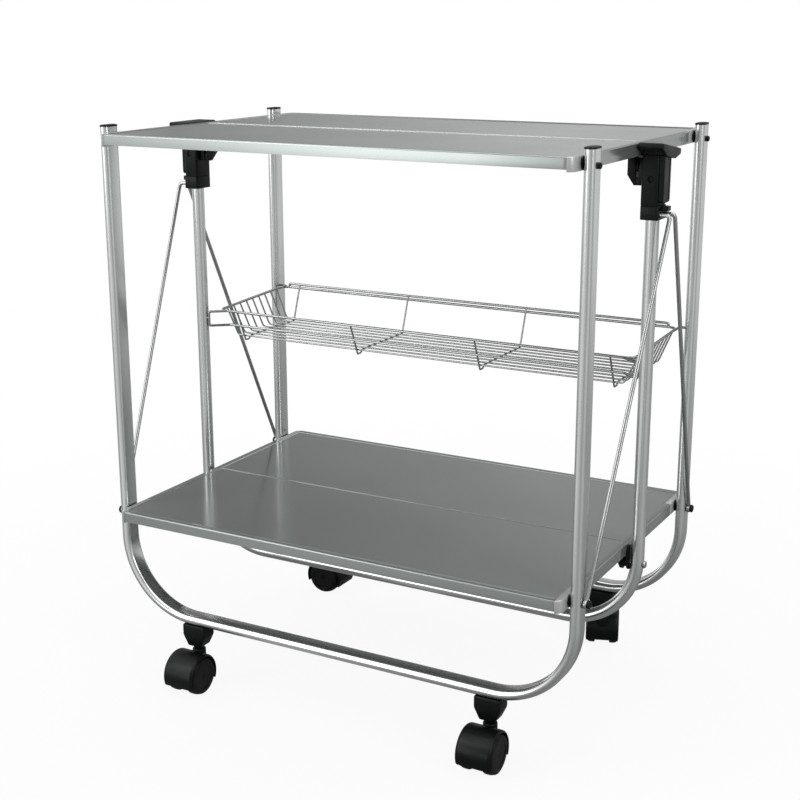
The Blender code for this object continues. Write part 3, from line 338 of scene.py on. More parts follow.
def pick(piece, kind, test=every):
    """Opens the piece in edit mode and selects the points, edges or faces that pass the test."""
    take(piece)
    bpy.ops.object.mode_set(mode="EDIT")
    bpy.ops.mesh.select_mode(type=kind)
    bpy.ops.mesh.select_all(action="DESELECT")
    shape = bmesh.from_edit_mesh(piece.data)
    shape.normal_update()
    items = {"VERT": shape.verts, "EDGE": shape.edges, "FACE": shape.faces}[kind]
    found = [item for item in items if test(item)]
    if not found:
        raise RuntimeError(f"{piece.name}: nothing to select")
    for item in found:
        item.select_set(True)
    shape.select_flush_mode()
    bmesh.update_edit_mesh(piece.data)


def push(value):
    """Extrudes what is selected."""
    bpy.ops.mesh.extrude_region_move(TRANSFORM_OT_translate={"value": value})


def slide(value):
    """Moves what is selected."""
    bpy.ops.transform.translate(value=value)


def squeeze(value, centre):
    """Scales what is selected about a centre."""
    bpy.ops.transform.resize(value=value, center_override=centre)


def inset(width, depth=0.0):
    """Draws a smaller face inside the selected one."""
    bpy.ops.mesh.inset(thickness=width, depth=depth, use_even_offset=True)


def cut_across(piece, place, normal, test=every, **settings):
    """Draws a plane's line across the faces that pass the test, or cuts off what lies behind the plane."""
    pick(piece, "FACE", test)
    bpy.ops.mesh.bisect(plane_co=place, plane_no=normal, **settings)


def wrap(piece):
    """Wraps a piece in its convex hull."""
    pick(piece, "FACE")
    bpy.ops.mesh.convex_hull()
    leave_edit()


def stretch(piece, axis, centre, reach):
    """Pulls the two halves of a round piece apart along an axis, which makes it oval."""
    index = "XYZ".index(axis)
    for way in (-1, 1):
        pick(piece, "VERT", lambda point: (point.co[index] - centre) * way > TOUCH)
        slide([way * reach if place == index else 0 for place in range(3)])
    leave_edit()


def close_up(piece):
    """Turns every face outwards and leaves edit mode."""
    take(piece)
    bpy.ops.object.mode_set(mode="EDIT")
    bpy.ops.mesh.select_all(action="SELECT")
    bpy.ops.mesh.remove_doubles(threshold=TOUCH / 100)
    bpy.ops.mesh.normals_make_consistent(inside=False)
    leave_edit()


def round_edges(piece, test, width, steps=4):
    """Rounds the edges that pass the test."""
    pick(piece, "EDGE", test)
    bpy.ops.mesh.bevel(offset=width, offset_type="OFFSET", segments=steps, profile=0.5, affect="EDGES",
                       clamp_overlap=True)
    leave_edit()


def near(value, goal):
    """Whether a place is where it should be."""
    return abs(value - goal) < TOUCH / 3


def lying_at(axis, goal):
    """A test for edges that lie in one plane across an axis."""
    index = "XYZ".index(axis)
    return lambda edge: all(near(point.co[index], goal) for point in edge.verts)


def along(axis):
    """A test for edges that run along an axis."""
    index = "XYZ".index(axis)

    def test(edge):
        line = edge.verts[1].co - edge.verts[0].co
        return abs(line[index]) > FACET * line.length
    return test


def facing(axis, way):
    """A test for faces that look one way along an axis."""
    index = "XYZ".index(axis)
    return lambda face: face.normal[index] * way > FACET


def finish_with(piece, kind, **settings):
    """Adds a modifier, sets it and applies it."""
    take(piece)
    modifier = piece.modifiers.new(kind.title(), kind)
    for name, value in settings.items():
        setattr(modifier, name, value)
    bpy.ops.object.modifier_apply(modifier=modifier.name)


def soften(piece, width, steps=3, angle=30):
    """Rounds every crisp edge a little, as a moulding or a fold has it."""
    finish_with(piece, "BEVEL", width=width, segments=steps, limit_method="ANGLE", angle_limit=radians(angle),
                use_clamp_overlap=True)


def carve(piece, tool, operation="DIFFERENCE"):
    """Cuts one shape from another, or joins the two."""
    finish_with(piece, "BOOLEAN", object=tool, operation=operation, solver="EXACT")
    bpy.data.objects.remove(tool)


def discard(*models):
    """Removes the models whose copies are the pieces."""
    for model in models:
        bpy.data.objects.remove(model)


def gather(piece, *others):
    """Joins shapes into one piece without cutting them."""
    take(piece)
    for other in others:
        other.select_set(True)
    bpy.ops.object.join()
    return piece


def copy_of(piece, name, x=1, y=1, shift=(0, 0, 0), turn=0):
    """A mirrored, turned or moved copy with a mesh of its own."""
    take(piece)
    bpy.ops.object.duplicate()
    twin = bpy.context.object
    twin.scale = (x, y, 1)
    twin.rotation_euler.z = turn
    twin.location = shift
    twin = newest(name)
    if x * y < 0:
        close_up(twin)
    return twin


def bent_bar(name, points, bend, radius, sides=24, widen=0.0, steps=10):
    """A bar through the corner points, each corner bent to a radius. A flat-oval bar is widened along Y."""
    points = [Vector(point) for point in points]
    heading = (points[1] - points[0]).normalized()
    turn = heading.to_track_quat("Z", "Y") @ Quaternion((0, 0, 1), pi / sides)
    at_rest()
    bpy.ops.mesh.primitive_circle_add(vertices=sides, radius=radius, fill_type="NGON", location=points[0],
                                      rotation=turn.to_euler())
    bar = newest(name)
    if widen:
        stretch(bar, "Y", points[0].y, widen)
    pick(bar, "FACE")
    place = points[0]
    for corner, after in zip(points[1:-1], points[2:]):
        onward = (after - corner).normalized()
        angle = heading.angle(onward)
        reach = bend * tan(angle / 2)
        push(corner - heading * reach - place)
        inward = (onward - heading * onward.dot(heading)).normalized()
        bpy.ops.mesh.spin(steps=steps, angle=angle, center=corner - heading * reach + inward * bend,
                          axis=onward.cross(heading).normalized())
        place = corner + onward * reach
        heading = onward
    push(points[-1] - place)
    leave_edit()
    close_up(bar)
    return bar


def body_with(node):
    """The body that carries a packed node."""
    for body, nodes in frame["record"]["behaviour"]["bodies"].items():
        if node in nodes:
            return body
    raise RuntimeError(f"No body carries {node}")


def dress(piece, slot, node, angle=35, stands_for_it=True):
    """Gives a finished piece its finish and its place on the body of a node, which most pieces stand for."""
    close_up(piece)
    bpy.ops.object.shade_smooth_by_angle(angle=radians(angle))
    piece.data.materials.clear()
    piece.data.materials.append(FINISHES[slot])
    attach(piece, body_with(node))
    if stands_for_it:
        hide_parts(node)


# Finishes

FINISHES = {}
VALUE, COLOUR, PLACE = "NodeSocketFloat", "NodeSocketColor", "NodeSocketVector"
GREY = (0.5, 0.5, 0.5, 1)
SPECK_SCALE, WORN_SCALE, SPOT_SCALE = 420.0, 21.0, 75.0
BUMP_REACH = 0.0002  # how far the grain stands out of a surface
SCRATCH_DEPTH = 0.5  # of the grain's height
SCUFF_ROUGHENS, DUST_ROUGHENS = 0.18, 0.25
DUST, DUST_SHOWN = (0.16, 0.15, 0.14, 1), 0.35
COAT_ROUGHNESS, COAT_WORN = 0.12, 0.8
LENGTHWAYS = (0, pi / 2, 0)  # turns the scratches to run along the shelves
RECIPES = {
    "silver_tube": ("tube", {"metallic": 0.92, "smooth": 0.15, "rough": 0.22, "grain": 2600, "bump": 0.05,
                             "patch": 9, "scuff": 0.2}),
    "shelf_sheet": ("sheet", {"metallic": 0.60, "smooth": 0.13, "rough": 0.19, "grain": 330, "bump": 0.03,
                              "patch": 5, "scuff": 0.02, "turn": LENGTHWAYS, "contrast": 0.08, "worn": 1.08,
                              "coat": 0.15}),
    "silver_moulding": ("moulding", {"metallic": 0.45, "smooth": 0.30, "rough": 0.42, "grain": 1500,
                                     "bump": 0.12, "patch": 30, "scuff": 0.3}),
    "bright_wire": ("wire", {"metallic": 1.0, "smooth": 0.20, "rough": 0.30, "grain": 1900, "bump": 0.06,
                             "patch": 40, "scuff": 0.2}),
    "pin_steel": ("steel", {"metallic": 1.0, "smooth": 0.20, "rough": 0.30, "grain": 1700, "bump": 0.06,
                            "patch": 45, "scuff": 0.2}),
    "black_plastic": ("black", {"metallic": 0.0, "smooth": 0.34, "rough": 0.48, "grain": 1500, "bump": 0.30,
                                "patch": 35, "scuff": 0.45, "contrast": 0.3, "worn": 1.6, "shine": 0.14}),
    "wheel_plastic": ("wheel", {"metallic": 0.0, "smooth": 0.30, "rough": 0.44, "grain": 1100, "bump": 0.16,
                                "patch": 60, "scuff": 0.5, "contrast": 0.3, "worn": 1.8, "dust": 0.006,
                                "shine": 0.16}),
}


def sheet_of_nodes(name, inputs, *outputs):
    """A shader node group with named inputs and outputs."""
    tree = bpy.data.node_groups.new(name, "ShaderNodeTree")
    for label, kind, default in inputs:
        socket = tree.interface.new_socket(name=label, in_out="INPUT", socket_type=kind)
        if kind != PLACE:
            socket.default_value = default
    for label, kind in outputs:
        tree.interface.new_socket(name=label, in_out="OUTPUT", socket_type=kind)
    return tree, tree.nodes.new("NodeGroupInput").outputs, tree.nodes.new("NodeGroupOutput").inputs


def give(tree, target, value):
    """Sets an input, or links it where another node's output is given."""
    if isinstance(value, bpy.types.NodeSocket):
        tree.links.new(value, target)
    else:
        target.default_value = value


def put(tree, kind, inputs=None, **settings):
    """Adds a node, with its settings, and values or links for its inputs."""
    added = tree.nodes.new(kind)
    for name, value in settings.items():
        setattr(added, name, value)
    for key, value in (inputs or {}).items():
        give(tree, added.inputs[key], value)
    return added


def use(tree, group, inputs):
    """Puts a shared node group into a tree."""
    return put(tree, "ShaderNodeGroup", inputs, node_tree=bpy.data.node_groups[group]).outputs


def noise(tree, inputs):
    """A noise texture's value."""
    return put(tree, "ShaderNodeTexNoise", inputs).outputs["Fac"]


def sum_of(tree, kind, first, second):
    """A Math node's result."""
    return put(tree, "ShaderNodeMath", {0: first, 1: second}, operation=kind).outputs[0]


def ramp(tree, value, low, high, low_out=0.0, high_out=1.0):
    """A value mapped from one range to another and held there."""
    inputs = {"Value": value, "From Min": low, "From Max": high, "To Min": low_out, "To Max": high_out}
    return put(tree, "ShaderNodeMapRange", inputs, clamp=True).outputs["Result"]


def mix_of(tree, kind, share, first, second):
    """Two colours mixed or combined."""
    inputs = {"Factor": share, 6: first, 7: second}
    return put(tree, "ShaderNodeMix", inputs, data_type="RGBA", blend_type=kind).outputs[2]


def make_grain():
    """A fine grain: the height of its bumps, and a broad unevenness."""
    inputs = [("Place", PLACE, None), ("Scale", VALUE, 900.0), ("Patch Scale", VALUE, 14.0)]
    tree, given, made = sheet_of_nodes("Grain", inputs, ("Height", VALUE), ("Patches", VALUE))
    fine = noise(tree, {"Vector": given["Place"], "Scale": given["Scale"], "Detail": 3.0, "Roughness": 0.6})
    broad = noise(tree, {"Vector": given["Place"], "Scale": given["Patch Scale"], "Detail": 4.0,
                         "Roughness": 0.55})
    give(tree, made["Height"], fine)
    give(tree, made["Patches"], ramp(tree, broad, 0.3, 0.7))


def make_scuffs():
    """Sparse fine scratches that run mostly one way, and small worn spots."""
    inputs = [("Place", PLACE, None), ("Across", VALUE, 260.0), ("Along", VALUE, 9.0), ("Amount", VALUE, 0.5)]
    tree, given, made = sheet_of_nodes("Scuffs", inputs, ("Scratches", VALUE), ("Spots", VALUE))
    pull = {"X": given["Across"], "Y": given["Across"], "Z": given["Along"]}
    pull = put(tree, "ShaderNodeCombineXYZ", pull).outputs[0]
    drawn = put(tree, "ShaderNodeVectorMath", {0: given["Place"], 1: pull}, operation="MULTIPLY").outputs[0]
    lines = noise(tree, {"Vector": drawn, "Scale": 1.0, "Detail": 5.0, "Roughness": 0.7})
    where = noise(tree, {"Vector": given["Place"], "Scale": WORN_SCALE, "Detail": 2.0})
    patch = ramp(tree, where, 0.48, 0.66)
    dots = {"Vector": given["Place"], "Scale": SPOT_SCALE, "Randomness": 1.0}
    dots = put(tree, "ShaderNodeTexVoronoi", dots).outputs["Distance"]
    for name, mark in (("Scratches", ramp(tree, lines, 0.62, 0.70)), ("Spots", ramp(tree, dots, 0.16, 0.10))):
        mark = sum_of(tree, "MULTIPLY", mark, patch)
        give(tree, made[name], sum_of(tree, "MULTIPLY", mark, given["Amount"]))


def make_tone():
    """A base colour that drifts between two tones and shows its scratches and spots."""
    inputs = [("Light", COLOUR, GREY), ("Dark", COLOUR, GREY), ("Worn", COLOUR, GREY),
              ("Patches", VALUE, 0.5), ("Wear", VALUE, 0.0)]
    tree, given, made = sheet_of_nodes("Tone", inputs, ("Color", COLOUR))
    drift = mix_of(tree, "MIX", given["Patches"], given["Light"], given["Dark"])
    give(tree, made["Color"], mix_of(tree, "MIX", given["Wear"], drift, given["Worn"]))


def make_floor_dust():
    """How much dust from the floor sits on a surface, by its height and in patches."""
    inputs = [("Place", PLACE, None), ("Height", VALUE, 0.02)]
    tree, given, made = sheet_of_nodes("Floor Dust", inputs, ("Dust", VALUE))
    height = put(tree, "ShaderNodeSeparateXYZ", {0: given["Place"]}).outputs["Z"]
    low = ramp(tree, sum_of(tree, "DIVIDE", height, given["Height"]), 1.0, 0.0)
    specks = noise(tree, {"Vector": given["Place"], "Scale": SPECK_SCALE, "Detail": 5.0})
    give(tree, made["Dust"], sum_of(tree, "MULTIPLY", low, ramp(tree, specks, 0.45, 0.7)))


def darker(colour, share):
    """A colour times a share, with its alpha."""
    return tuple(value * share for value in colour) + (1.0,)


def make_finish(name, colour, metallic, smooth, rough, grain, bump, patch, scuff, turn=(0, 0, 0),
                contrast=0.12, worn=1.25, coat=0.0, dust=0.0, shine=0.5):
    """A finish with uneven tone and gloss, grain, scuffs and, low down, dust."""
    finish = bpy.data.materials.new(name)
    finish.use_nodes = True
    tree = finish.node_tree
    shader = tree.nodes["Principled BSDF"].inputs
    place = put(tree, "ShaderNodeTexCoord").outputs["Object"]
    turned = put(tree, "ShaderNodeMapping", {"Vector": place, "Rotation": turn}).outputs["Vector"]
    fine = use(tree, "Grain", {"Place": turned, "Scale": grain, "Patch Scale": patch})
    marks = use(tree, "Scuffs", {"Place": turned, "Amount": scuff})
    wear = sum_of(tree, "MAXIMUM", marks["Scratches"], marks["Spots"])
    tones = {"Light": darker(colour, 1 + contrast / 2), "Dark": darker(colour, 1 - contrast / 2),
             "Worn": darker(colour, worn), "Patches": fine["Patches"], "Wear": wear}
    tone = use(tree, "Tone", tones)["Color"]
    gloss = sum_of(tree, "ADD", ramp(tree, fine["Patches"], 0.0, 1.0, smooth, rough),
                   sum_of(tree, "MULTIPLY", wear, SCUFF_ROUGHENS))
    if dust:
        fallen = use(tree, "Floor Dust", {"Place": place, "Height": dust})["Dust"]
        tone = mix_of(tree, "MIX", sum_of(tree, "MULTIPLY", fallen, DUST_SHOWN), tone, DUST)
        gloss = sum_of(tree, "ADD", gloss, sum_of(tree, "MULTIPLY", fallen, DUST_ROUGHENS))
    if coat:
        give(tree, shader["Coat Weight"], ramp(tree, fine["Patches"], 0.0, 1.0, coat, coat * COAT_WORN))
    scratched = sum_of(tree, "MULTIPLY", marks["Scratches"], SCRATCH_DEPTH)
    height = sum_of(tree, "SUBTRACT", fine["Height"], scratched)
    raised = put(tree, "ShaderNodeBump", {"Height": height, "Strength": bump, "Distance": BUMP_REACH})
    for socket, value in (("Base Color", tone), ("Roughness", gloss), ("Normal", raised.outputs["Normal"]),
                          ("Metallic", metallic), ("Specular IOR Level", shine),
                          ("Coat Roughness", COAT_ROUGHNESS)):
        give(tree, shader[socket], value)
    return finish


# Pieces


class TROLLEY_OT_finishes(bpy.types.Operator):
    """Makes the finishes that the pieces wear"""

    bl_idname = "trolley.finishes"
    bl_label = "Make Finishes"

    def execute(self, context):
        for make in (make_grain, make_scuffs, make_tone, make_floor_dust):
            make()
        for slot, (colour, recipe) in RECIPES.items():
            name = slot.replace("_", " ").title()
            FINISHES[slot] = make_finish(name, getattr(context.scene.trolley_colours, colour), **recipe)
        return {"FINISHED"}


class TROLLEY_OT_frames(bpy.types.Operator):
    """Bends the two flat-oval outer frames and the round middle frame"""

    bl_idname = "trolley.frames"
    bl_label = "Bend Frames"

    def execute(self, context):
        size = context.scene.trolley_frames
        x, top, bar = size.post_x, size.outer_top, size.outer_bar
        for end, sign in ENDS.items():
            y = sign * size.post_y
            points = [(-x, y, top), (-x, y, bar), (x, y, bar), (x, y, top)]
            tube = bent_bar(f"{end}_frame_tube", points, size.outer_bend, size.oval / 2, sides=40,
                            widen=size.oval / 2, steps=28)
            dress(tube, "silver_tube", f"{end}_frame")
        x, top, bar = size.middle_x, size.middle_top, size.middle_bar
        points = [(-x, 0, top), (-x, 0, bar), (x, 0, bar), (x, 0, top)]
        tube = bent_bar("middle_frame_tube", points, size.middle_bend, size.middle_round, sides=36, steps=26)
        dress(tube, "silver_tube", "middle_frame")
        return {"FINISHED"}


class TROLLEY_OT_caps(bpy.types.Operator):
    """Puts a domed oval cap on each outer post"""

    bl_idname = "trolley.caps"
    bl_label = "Fit Post Caps"

    def execute(self, context):
        size = context.scene.trolley_frames
        x, y, base, shoulder = size.post_x, size.post_y, size.outer_top, size.cap_top - TOUCH
        middle, radius = (x, y, (base + shoulder) / 2), size.oval / 2 + TOUCH
        first = start_drum("post cap", middle, radius, shoulder - base, "Z", 38)
        stretch(first, "Y", y, size.oval / 2)
        round_edges(first, lying_at("Z", shoulder), size.cap_edge)
        pick(first, "FACE", facing("Z", 1))
        inset(size.cap_dome)
        slide((0, 0, TOUCH))
        leave_edit()
        for name, side, sign in corners():
            dress(copy_of(first, f"{name}_cap_dome", side, sign), "black_plastic", f"{name}_post_cap", 50)
        discard(first)
        return {"FINISHED"}


def surfaces_of(size):
    """The heights of the two shelves' surfaces."""
    return {"top": size.top, "low": size.low}


def ear_plate(inner_x, size):
    """A hinge ear below a shelf half: a round end for the middle pin, and a root under the sheet."""
    outer_x, root_z = inner_x + EAR_THICK, -size.sheet
    middle = (inner_x + EAR_THICK / 2, 0, -size.middle_drop)
    plate = start_drum("ear", middle, EAR_ROUND, EAR_THICK, "X", 36)
    gather(plate, start_block("root", (inner_x, 2 * TOUCH, root_z - TOUCH), (outer_x, EAR_ROOT, root_z)))
    wrap(plate)
    return plate


def shelf_half(size):
    """The rear half of a shelf, its surface at height zero, hollow under the sheet."""
    x, y, rim = size.half_x, size.deep_y, size.rim
    half = start_block("shelf half", (-x, TOUCH / 2, -rim), (x, y, 0))
    round_edges(half, lambda edge: along("Z")(edge) and lying_at("Y", y)(edge), size.round, 8)
    round_edges(half, lambda edge: lying_at("Z", 0)(edge) and max(point.co.y for point in edge.verts) > TOUCH,
                size.edge)
    round_edges(half, lambda edge: lying_at("Z", 0)(edge) and lying_at("Y", TOUCH / 2)(edge),
                size.inner_edge, 5)
    for side in SIDES.values():
        low_x, high_x = sorted((side * (size.seam_x - TOUCH / 2), side * (x + TOUCH)))
        low_y = y - size.block - TOUCH / 2
        carve(half, start_block("notch", (low_x, low_y, -2 * rim), (high_x, y + TOUCH, TOUCH)))
    slope = 3 * TOUCH
    for step in (size.border, size.border + slope):
        for place, normal in (((x - step, 0, 0), (1, 0, 0)), ((step - x, 0, 0), (1, 0, 0)),
                              ((0, y - step, 0), (0, 1, 0))):
            cut_across(half, place, normal, facing("Z", 1))
    field_x, field_y = (reach - size.border - slope + TOUCH / 3 for reach in (x, y))
    pick(half, "FACE", lambda face: facing("Z", 1)(face) and all(
        abs(point.co.x) < field_x and point.co.y < field_y and near(point.co.z, 0) for point in face.verts))
    slide((0, 0, -size.border_step))
    pick(half, "FACE", facing("Z", -1))
    inset(size.sheet)
    push((0, 0, rim - size.sheet - size.border_step))
    pick(half, "FACE", lambda face: facing("Z", -1)(face) and near(face.calc_center_median().z, -rim) and all(
        abs(point.co.x) > size.seam_x + TOUCH for point in face.verts))
    push((0, 0, rim - size.skirt))
    leave_edit()
    return half


class TROLLEY_OT_shelves(bpy.types.Operator):
    """Folds the four shelf halves and fits their black hinge ears"""

    bl_idname = "trolley.shelves"
    bl_label = "Fold Shelves"

    def execute(self, context):
        size = context.scene.trolley_shelves
        first = shelf_half(size)
        for end, sign in ENDS.items():
            tray = copy_of(first, f"{end} shelf", 1, sign)
            ear = ear_plate(EAR_X[end], size)
            for shelf, surface in surfaces_of(size).items():
                node, shift = f"{end}_{shelf}_tray", (0, 0, surface)
                dress(copy_of(tray, f"{end}_{shelf}_sheet", 1, 1, shift), "shelf_sheet", node, 28)
                for side_name, side in SIDES.items():
                    plate = copy_of(ear, f"{end}_{side_name}_{shelf}_ear", side, sign, shift)
                    dress(plate, "black_plastic", node, 28)
            discard(ear, tray)
        discard(first)
        return {"FINISHED"}


class TROLLEY_OT_corners(bpy.types.Operator):
    """Moulds the eight corner blocks of the shelves"""

    bl_idname = "trolley.corners"
    bl_label = "Mould Corner Blocks"

    def execute(self, context):
        size = context.scene.trolley_shelves
        x, y, inner = size.half_x, size.deep_y, size.half_x - 3 * size.round
        block = start_block("corner block", (inner, y - size.block, -size.skirt), (x, y, 0))
        round_edges(block, lambda edge: lying_at("X", x)(edge) and lying_at("Y", y)(edge), size.round, 10)
        round_edges(block, lambda edge: lying_at("Z", 0)(edge) and (
            min(point.co.x for point in edge.verts) > inner + TOUCH or lying_at("Y", y)(edge)), size.edge)
        cut_across(block, (size.seam_x, 0, 0), (1, 0, 0), clear_inner=True, use_fill=True)
        pick(block, "FACE", facing("Z", -1))
        inset(4 * TOUCH)
        push((0, 0, 10 * TOUCH))
        leave_edit()
        soften(block, TOUCH, 2, 50)
        for shelf, surface in surfaces_of(size).items():
            for corner, side, sign in corners():
                name = f"{corner}_{shelf}_corner"
                piece = copy_of(block, f"{name}_moulding", side, sign, (0, 0, surface))
                dress(piece, "silver_moulding", name)
        discard(block)
        return {"FINISHED"}


def headed(name, low_x, high_x, y, z, radius, dome, steps=4):
    """A short turned length along X with its outer rim rounded."""
    turned = start_drum(name, ((low_x + high_x) / 2, y, z), radius, high_x - low_x, "X", 32)
    round_edges(turned, lying_at("X", high_x), dome, steps)
    return turned


def sunk_head(size, low_x, high_x, y, z, radius, dome, ring):
    """The head of a pin, with a round recess inside a ring."""
    head = headed("head", low_x, high_x, y, z, radius, dome, 5)
    pick(head, "FACE", facing("X", 1))
    inset(ring)
    push((-size.sunk, 0, 0))
    leave_edit()
    return head


def outer_pin(size, frames, shelves, handles, shelf, surface):
    """A pin from a corner block through its spacer and the post, on the right side at the rear."""
    y, z, block = frames.post_y, surface - shelves.outer_drop, shelves.half_x
    post_in, post_out = frames.post_x - frames.oval / 2, frames.post_x + frames.oval / 2 + TOUCH
    shaft = headed("pin", block - size.shaft_in, post_out, y, z, size.shaft, TOUCH)
    middle = ((block + post_in) / 2, y, surface - shelves.skirt / 2)
    spacer = start_drum("spacer", middle, size.spacer, post_in - block - 2 * TOUCH, "X", 38)
    stretch(spacer, "Y", y, size.spacer_long)
    soften(spacer, size.spacer_edge, 2)
    if shelf == "top":
        head = sunk_head(size, post_out - TOUCH, post_out + size.top_head_tall, y, z, size.top_head,
                         size.top_dome, size.top_ring)
        return gather(shaft, spacer, head)
    eye_out = handles.foot_x + handles.strut_round + 2 * TOUCH
    middle = ((post_out + eye_out) / 2, y, z)
    neck = start_drum("neck", middle, size.shaft, eye_out - post_out + TOUCH, "X", 24)
    head = sunk_head(size, eye_out, eye_out + size.low_head_tall, y, z, size.low_head, size.low_dome,
                     size.low_ring)
    return gather(shaft, spacer, neck, head)


def ear_rivet(size, frames, shelves, handles, shelf, surface):
    """A rivet through the hinge ears, into the sleeve or through the middle post, on the right side."""
    z, tall = surface - shelves.middle_drop, size.rivet_tall
    if shelf == "top":
        return headed("rivet", size.rivet_in, handles.inner_x + size.rivet_out, 0, z, size.rivet, TOUCH)
    inner, outer = EARS_INSIDE, frames.middle_x + frames.middle_round + TOUCH
    rivet = start_drum("rivet", ((inner + outer) / 2, 0, z), size.rivet, outer - inner, "X", 24)
    head = headed("head", outer - TOUCH, outer + tall, 0, z, size.rivet_head, size.rivet_dome, 5)
    foot = start_drum("foot", (inner - tall / 2, 0, z), size.rivet_head, tall, "X", 32)
    round_edges(foot, lying_at("X", inner - tall), size.rivet_foot)
    return gather(rivet, head, foot)


class TROLLEY_OT_pins(bpy.types.Operator):
    """Turns the pivot pins, their spacers and the rivets of the hinge ears"""

    bl_idname = "trolley.pins"
    bl_label = "Turn Pins"

    def execute(self, context):
        scene = context.scene
        shelves = scene.trolley_shelves
        sizes = scene.trolley_pins, scene.trolley_frames, shelves, scene.trolley_handles
        for shelf, surface in surfaces_of(shelves).items():
            pin = outer_pin(*sizes, shelf, surface)
            for corner, side, sign in corners():
                name = f"{corner}_{shelf}_pin"
                dress(copy_of(pin, f"{name}_turned", side, sign), "black_plastic", name, 40)
            discard(pin)
        for shelf, surface in surfaces_of(shelves).items():
            rivet = ear_rivet(*sizes, shelf, surface)
            for side_name, side in SIDES.items():
                name = f"middle_{side_name}_{shelf}_pin"
                dress(copy_of(rivet, f"{name}_turned", side), "pin_steel", name, 40)
            discard(rivet)
        return {"FINISHED"}


class TROLLEY_OT_handles(bpy.types.Operator):
    """Moulds the handle housings, the grips and the pivot plates of the lower shelf"""

    bl_idname = "trolley.handles"
    bl_label = "Mould Handles"

    def execute(self, context):
        size, frames = context.scene.trolley_handles, context.scene.trolley_frames
        shelves = context.scene.trolley_shelves
        housing, screws = handle_housing(size, frames, shelves)
        plate = pivot_plate(size, shelves)
        for side_name, side in SIDES.items():
            node = f"{side_name}_handle_housing"
            dress(copy_of(housing, f"{side_name}_housing_shell", side), "black_plastic", node)
            piece = copy_of(screws, f"{side_name}_housing_screws", side)
            dress(piece, "black_plastic", node, stands_for_it=False)
            grip = handle_grip(size, *GRIP_ROCK[side_name])
            dress(copy_of(grip, f"{side_name}_grip_head", side), "black_plastic", f"{side_name}_grip")
            dress(copy_of(plate, f"{side_name}_plate", side), "black_plastic", f"{side_name}_pivot_plate")
            discard(grip)
        discard(housing, screws, plate)
        return {"FINISHED"}


def joint_boss(size, joint, z):
    """The boss between the hinge ears and the piece outside them, on the right side."""
    return start_drum("boss", ((EARS_OUTSIDE + joint) / 2, 0, z), size.boss, joint - EARS_OUTSIDE, "X", 32)


def handle_housing(size, frames, shelves):
    """The sleeve on the middle post with its boss, wing and two screws, on the right side.

    The bridge joins the wing's foot to the sleeve, and the filler closes the room outside the ears.
    """
    top, z, joint = frames.middle_top, shelves.top - shelves.middle_drop, size.inner_x + TOUCH
    foot, half = shelves.top - size.wing_foot, size.wing_half
    bridge_lap, bridge_half, bridge_tall = 0.0014, 0.0045, 0.009
    filler_half, filler_up = 0.0068, 0.0065
    foot_taper, edge, spare, screw_x = 0.6, 0.0009, 0.002, frames.middle_x + 0.0007
    sleeve = start_block("housing", (size.inner_x, -size.half_y, size.low), (size.outer_x, size.half_y, top))
    round_edges(sleeve, along("Z"), size.corner, 5)
    soften(sleeve, size.crisp, 2)
    carve(sleeve, joint_boss(size, joint, z), "UNION")
    wing = start_block("wing", (size.wing_in, -half, foot), (EARS_INSIDE, half, shelves.top - size.wing_top))
    cut_across(wing, (0, 0, foot + size.wing_slant), (0, 0, 1))
    pick(wing, "VERT", lambda point: near(point.co.z, foot))
    squeeze((1, foot_taper, 1), (0, 0, foot))
    pick(wing, "VERT", lambda point: near(point.co.z, foot) and near(point.co.x, size.wing_in))
    slide((half, 0, 0))
    leave_edit()
    carve(wing, start_block("bridge", (EARS_INSIDE - bridge_lap, -bridge_half, foot + TOUCH),
                            (joint, bridge_half, foot + bridge_tall)), "UNION")
    carve(wing, start_block("filler", (EARS_OUTSIDE, -filler_half, foot + 2 * TOUCH),
                            (joint, filler_half, z + filler_up)), "UNION")
    soften(wing, edge, 2)
    carve(sleeve, wing, "UNION")
    carve(sleeve, start_drum("bore", (frames.middle_x, 0, (size.low + top) / 2), frames.middle_round + TOUCH,
                             top - size.low + 2 * spare, "Z", 40))
    return sleeve, gather(*(housing_screw(size, sleeve, screw_x, way) for way in (-1, 1)))


def housing_screw(size, sleeve, x, way):
    """A cross-slotted screw in a recess that it cuts into the front or the rear of the sleeve."""
    z, face, slot_long, slot_wide, slot_deep = size.low + 0.030, size.half_y - 0.0010, 0.0036, 0.0007, 0.0005
    recess, recess_long, head_y, head_long = 0.0036, 0.0044, size.half_y - 0.0018, 0.0016
    carve(sleeve, start_drum("recess", (x, way * size.half_y, z), recess, recess_long, "Y", 32))
    head = start_drum("screw", (x, way * head_y, z), size.screw, head_long, "Y", 32)
    round_edges(head, lying_at("Y", way * face), 2 * TOUCH, 3)
    for wide, tall in ((slot_wide, slot_long), (slot_long, slot_wide)):
        carve(head, start_block("slot", (x - wide / 2, way * face - slot_deep, z - tall / 2),
                                (x + wide / 2, way * face + slot_deep, z + tall / 2)))
    return head


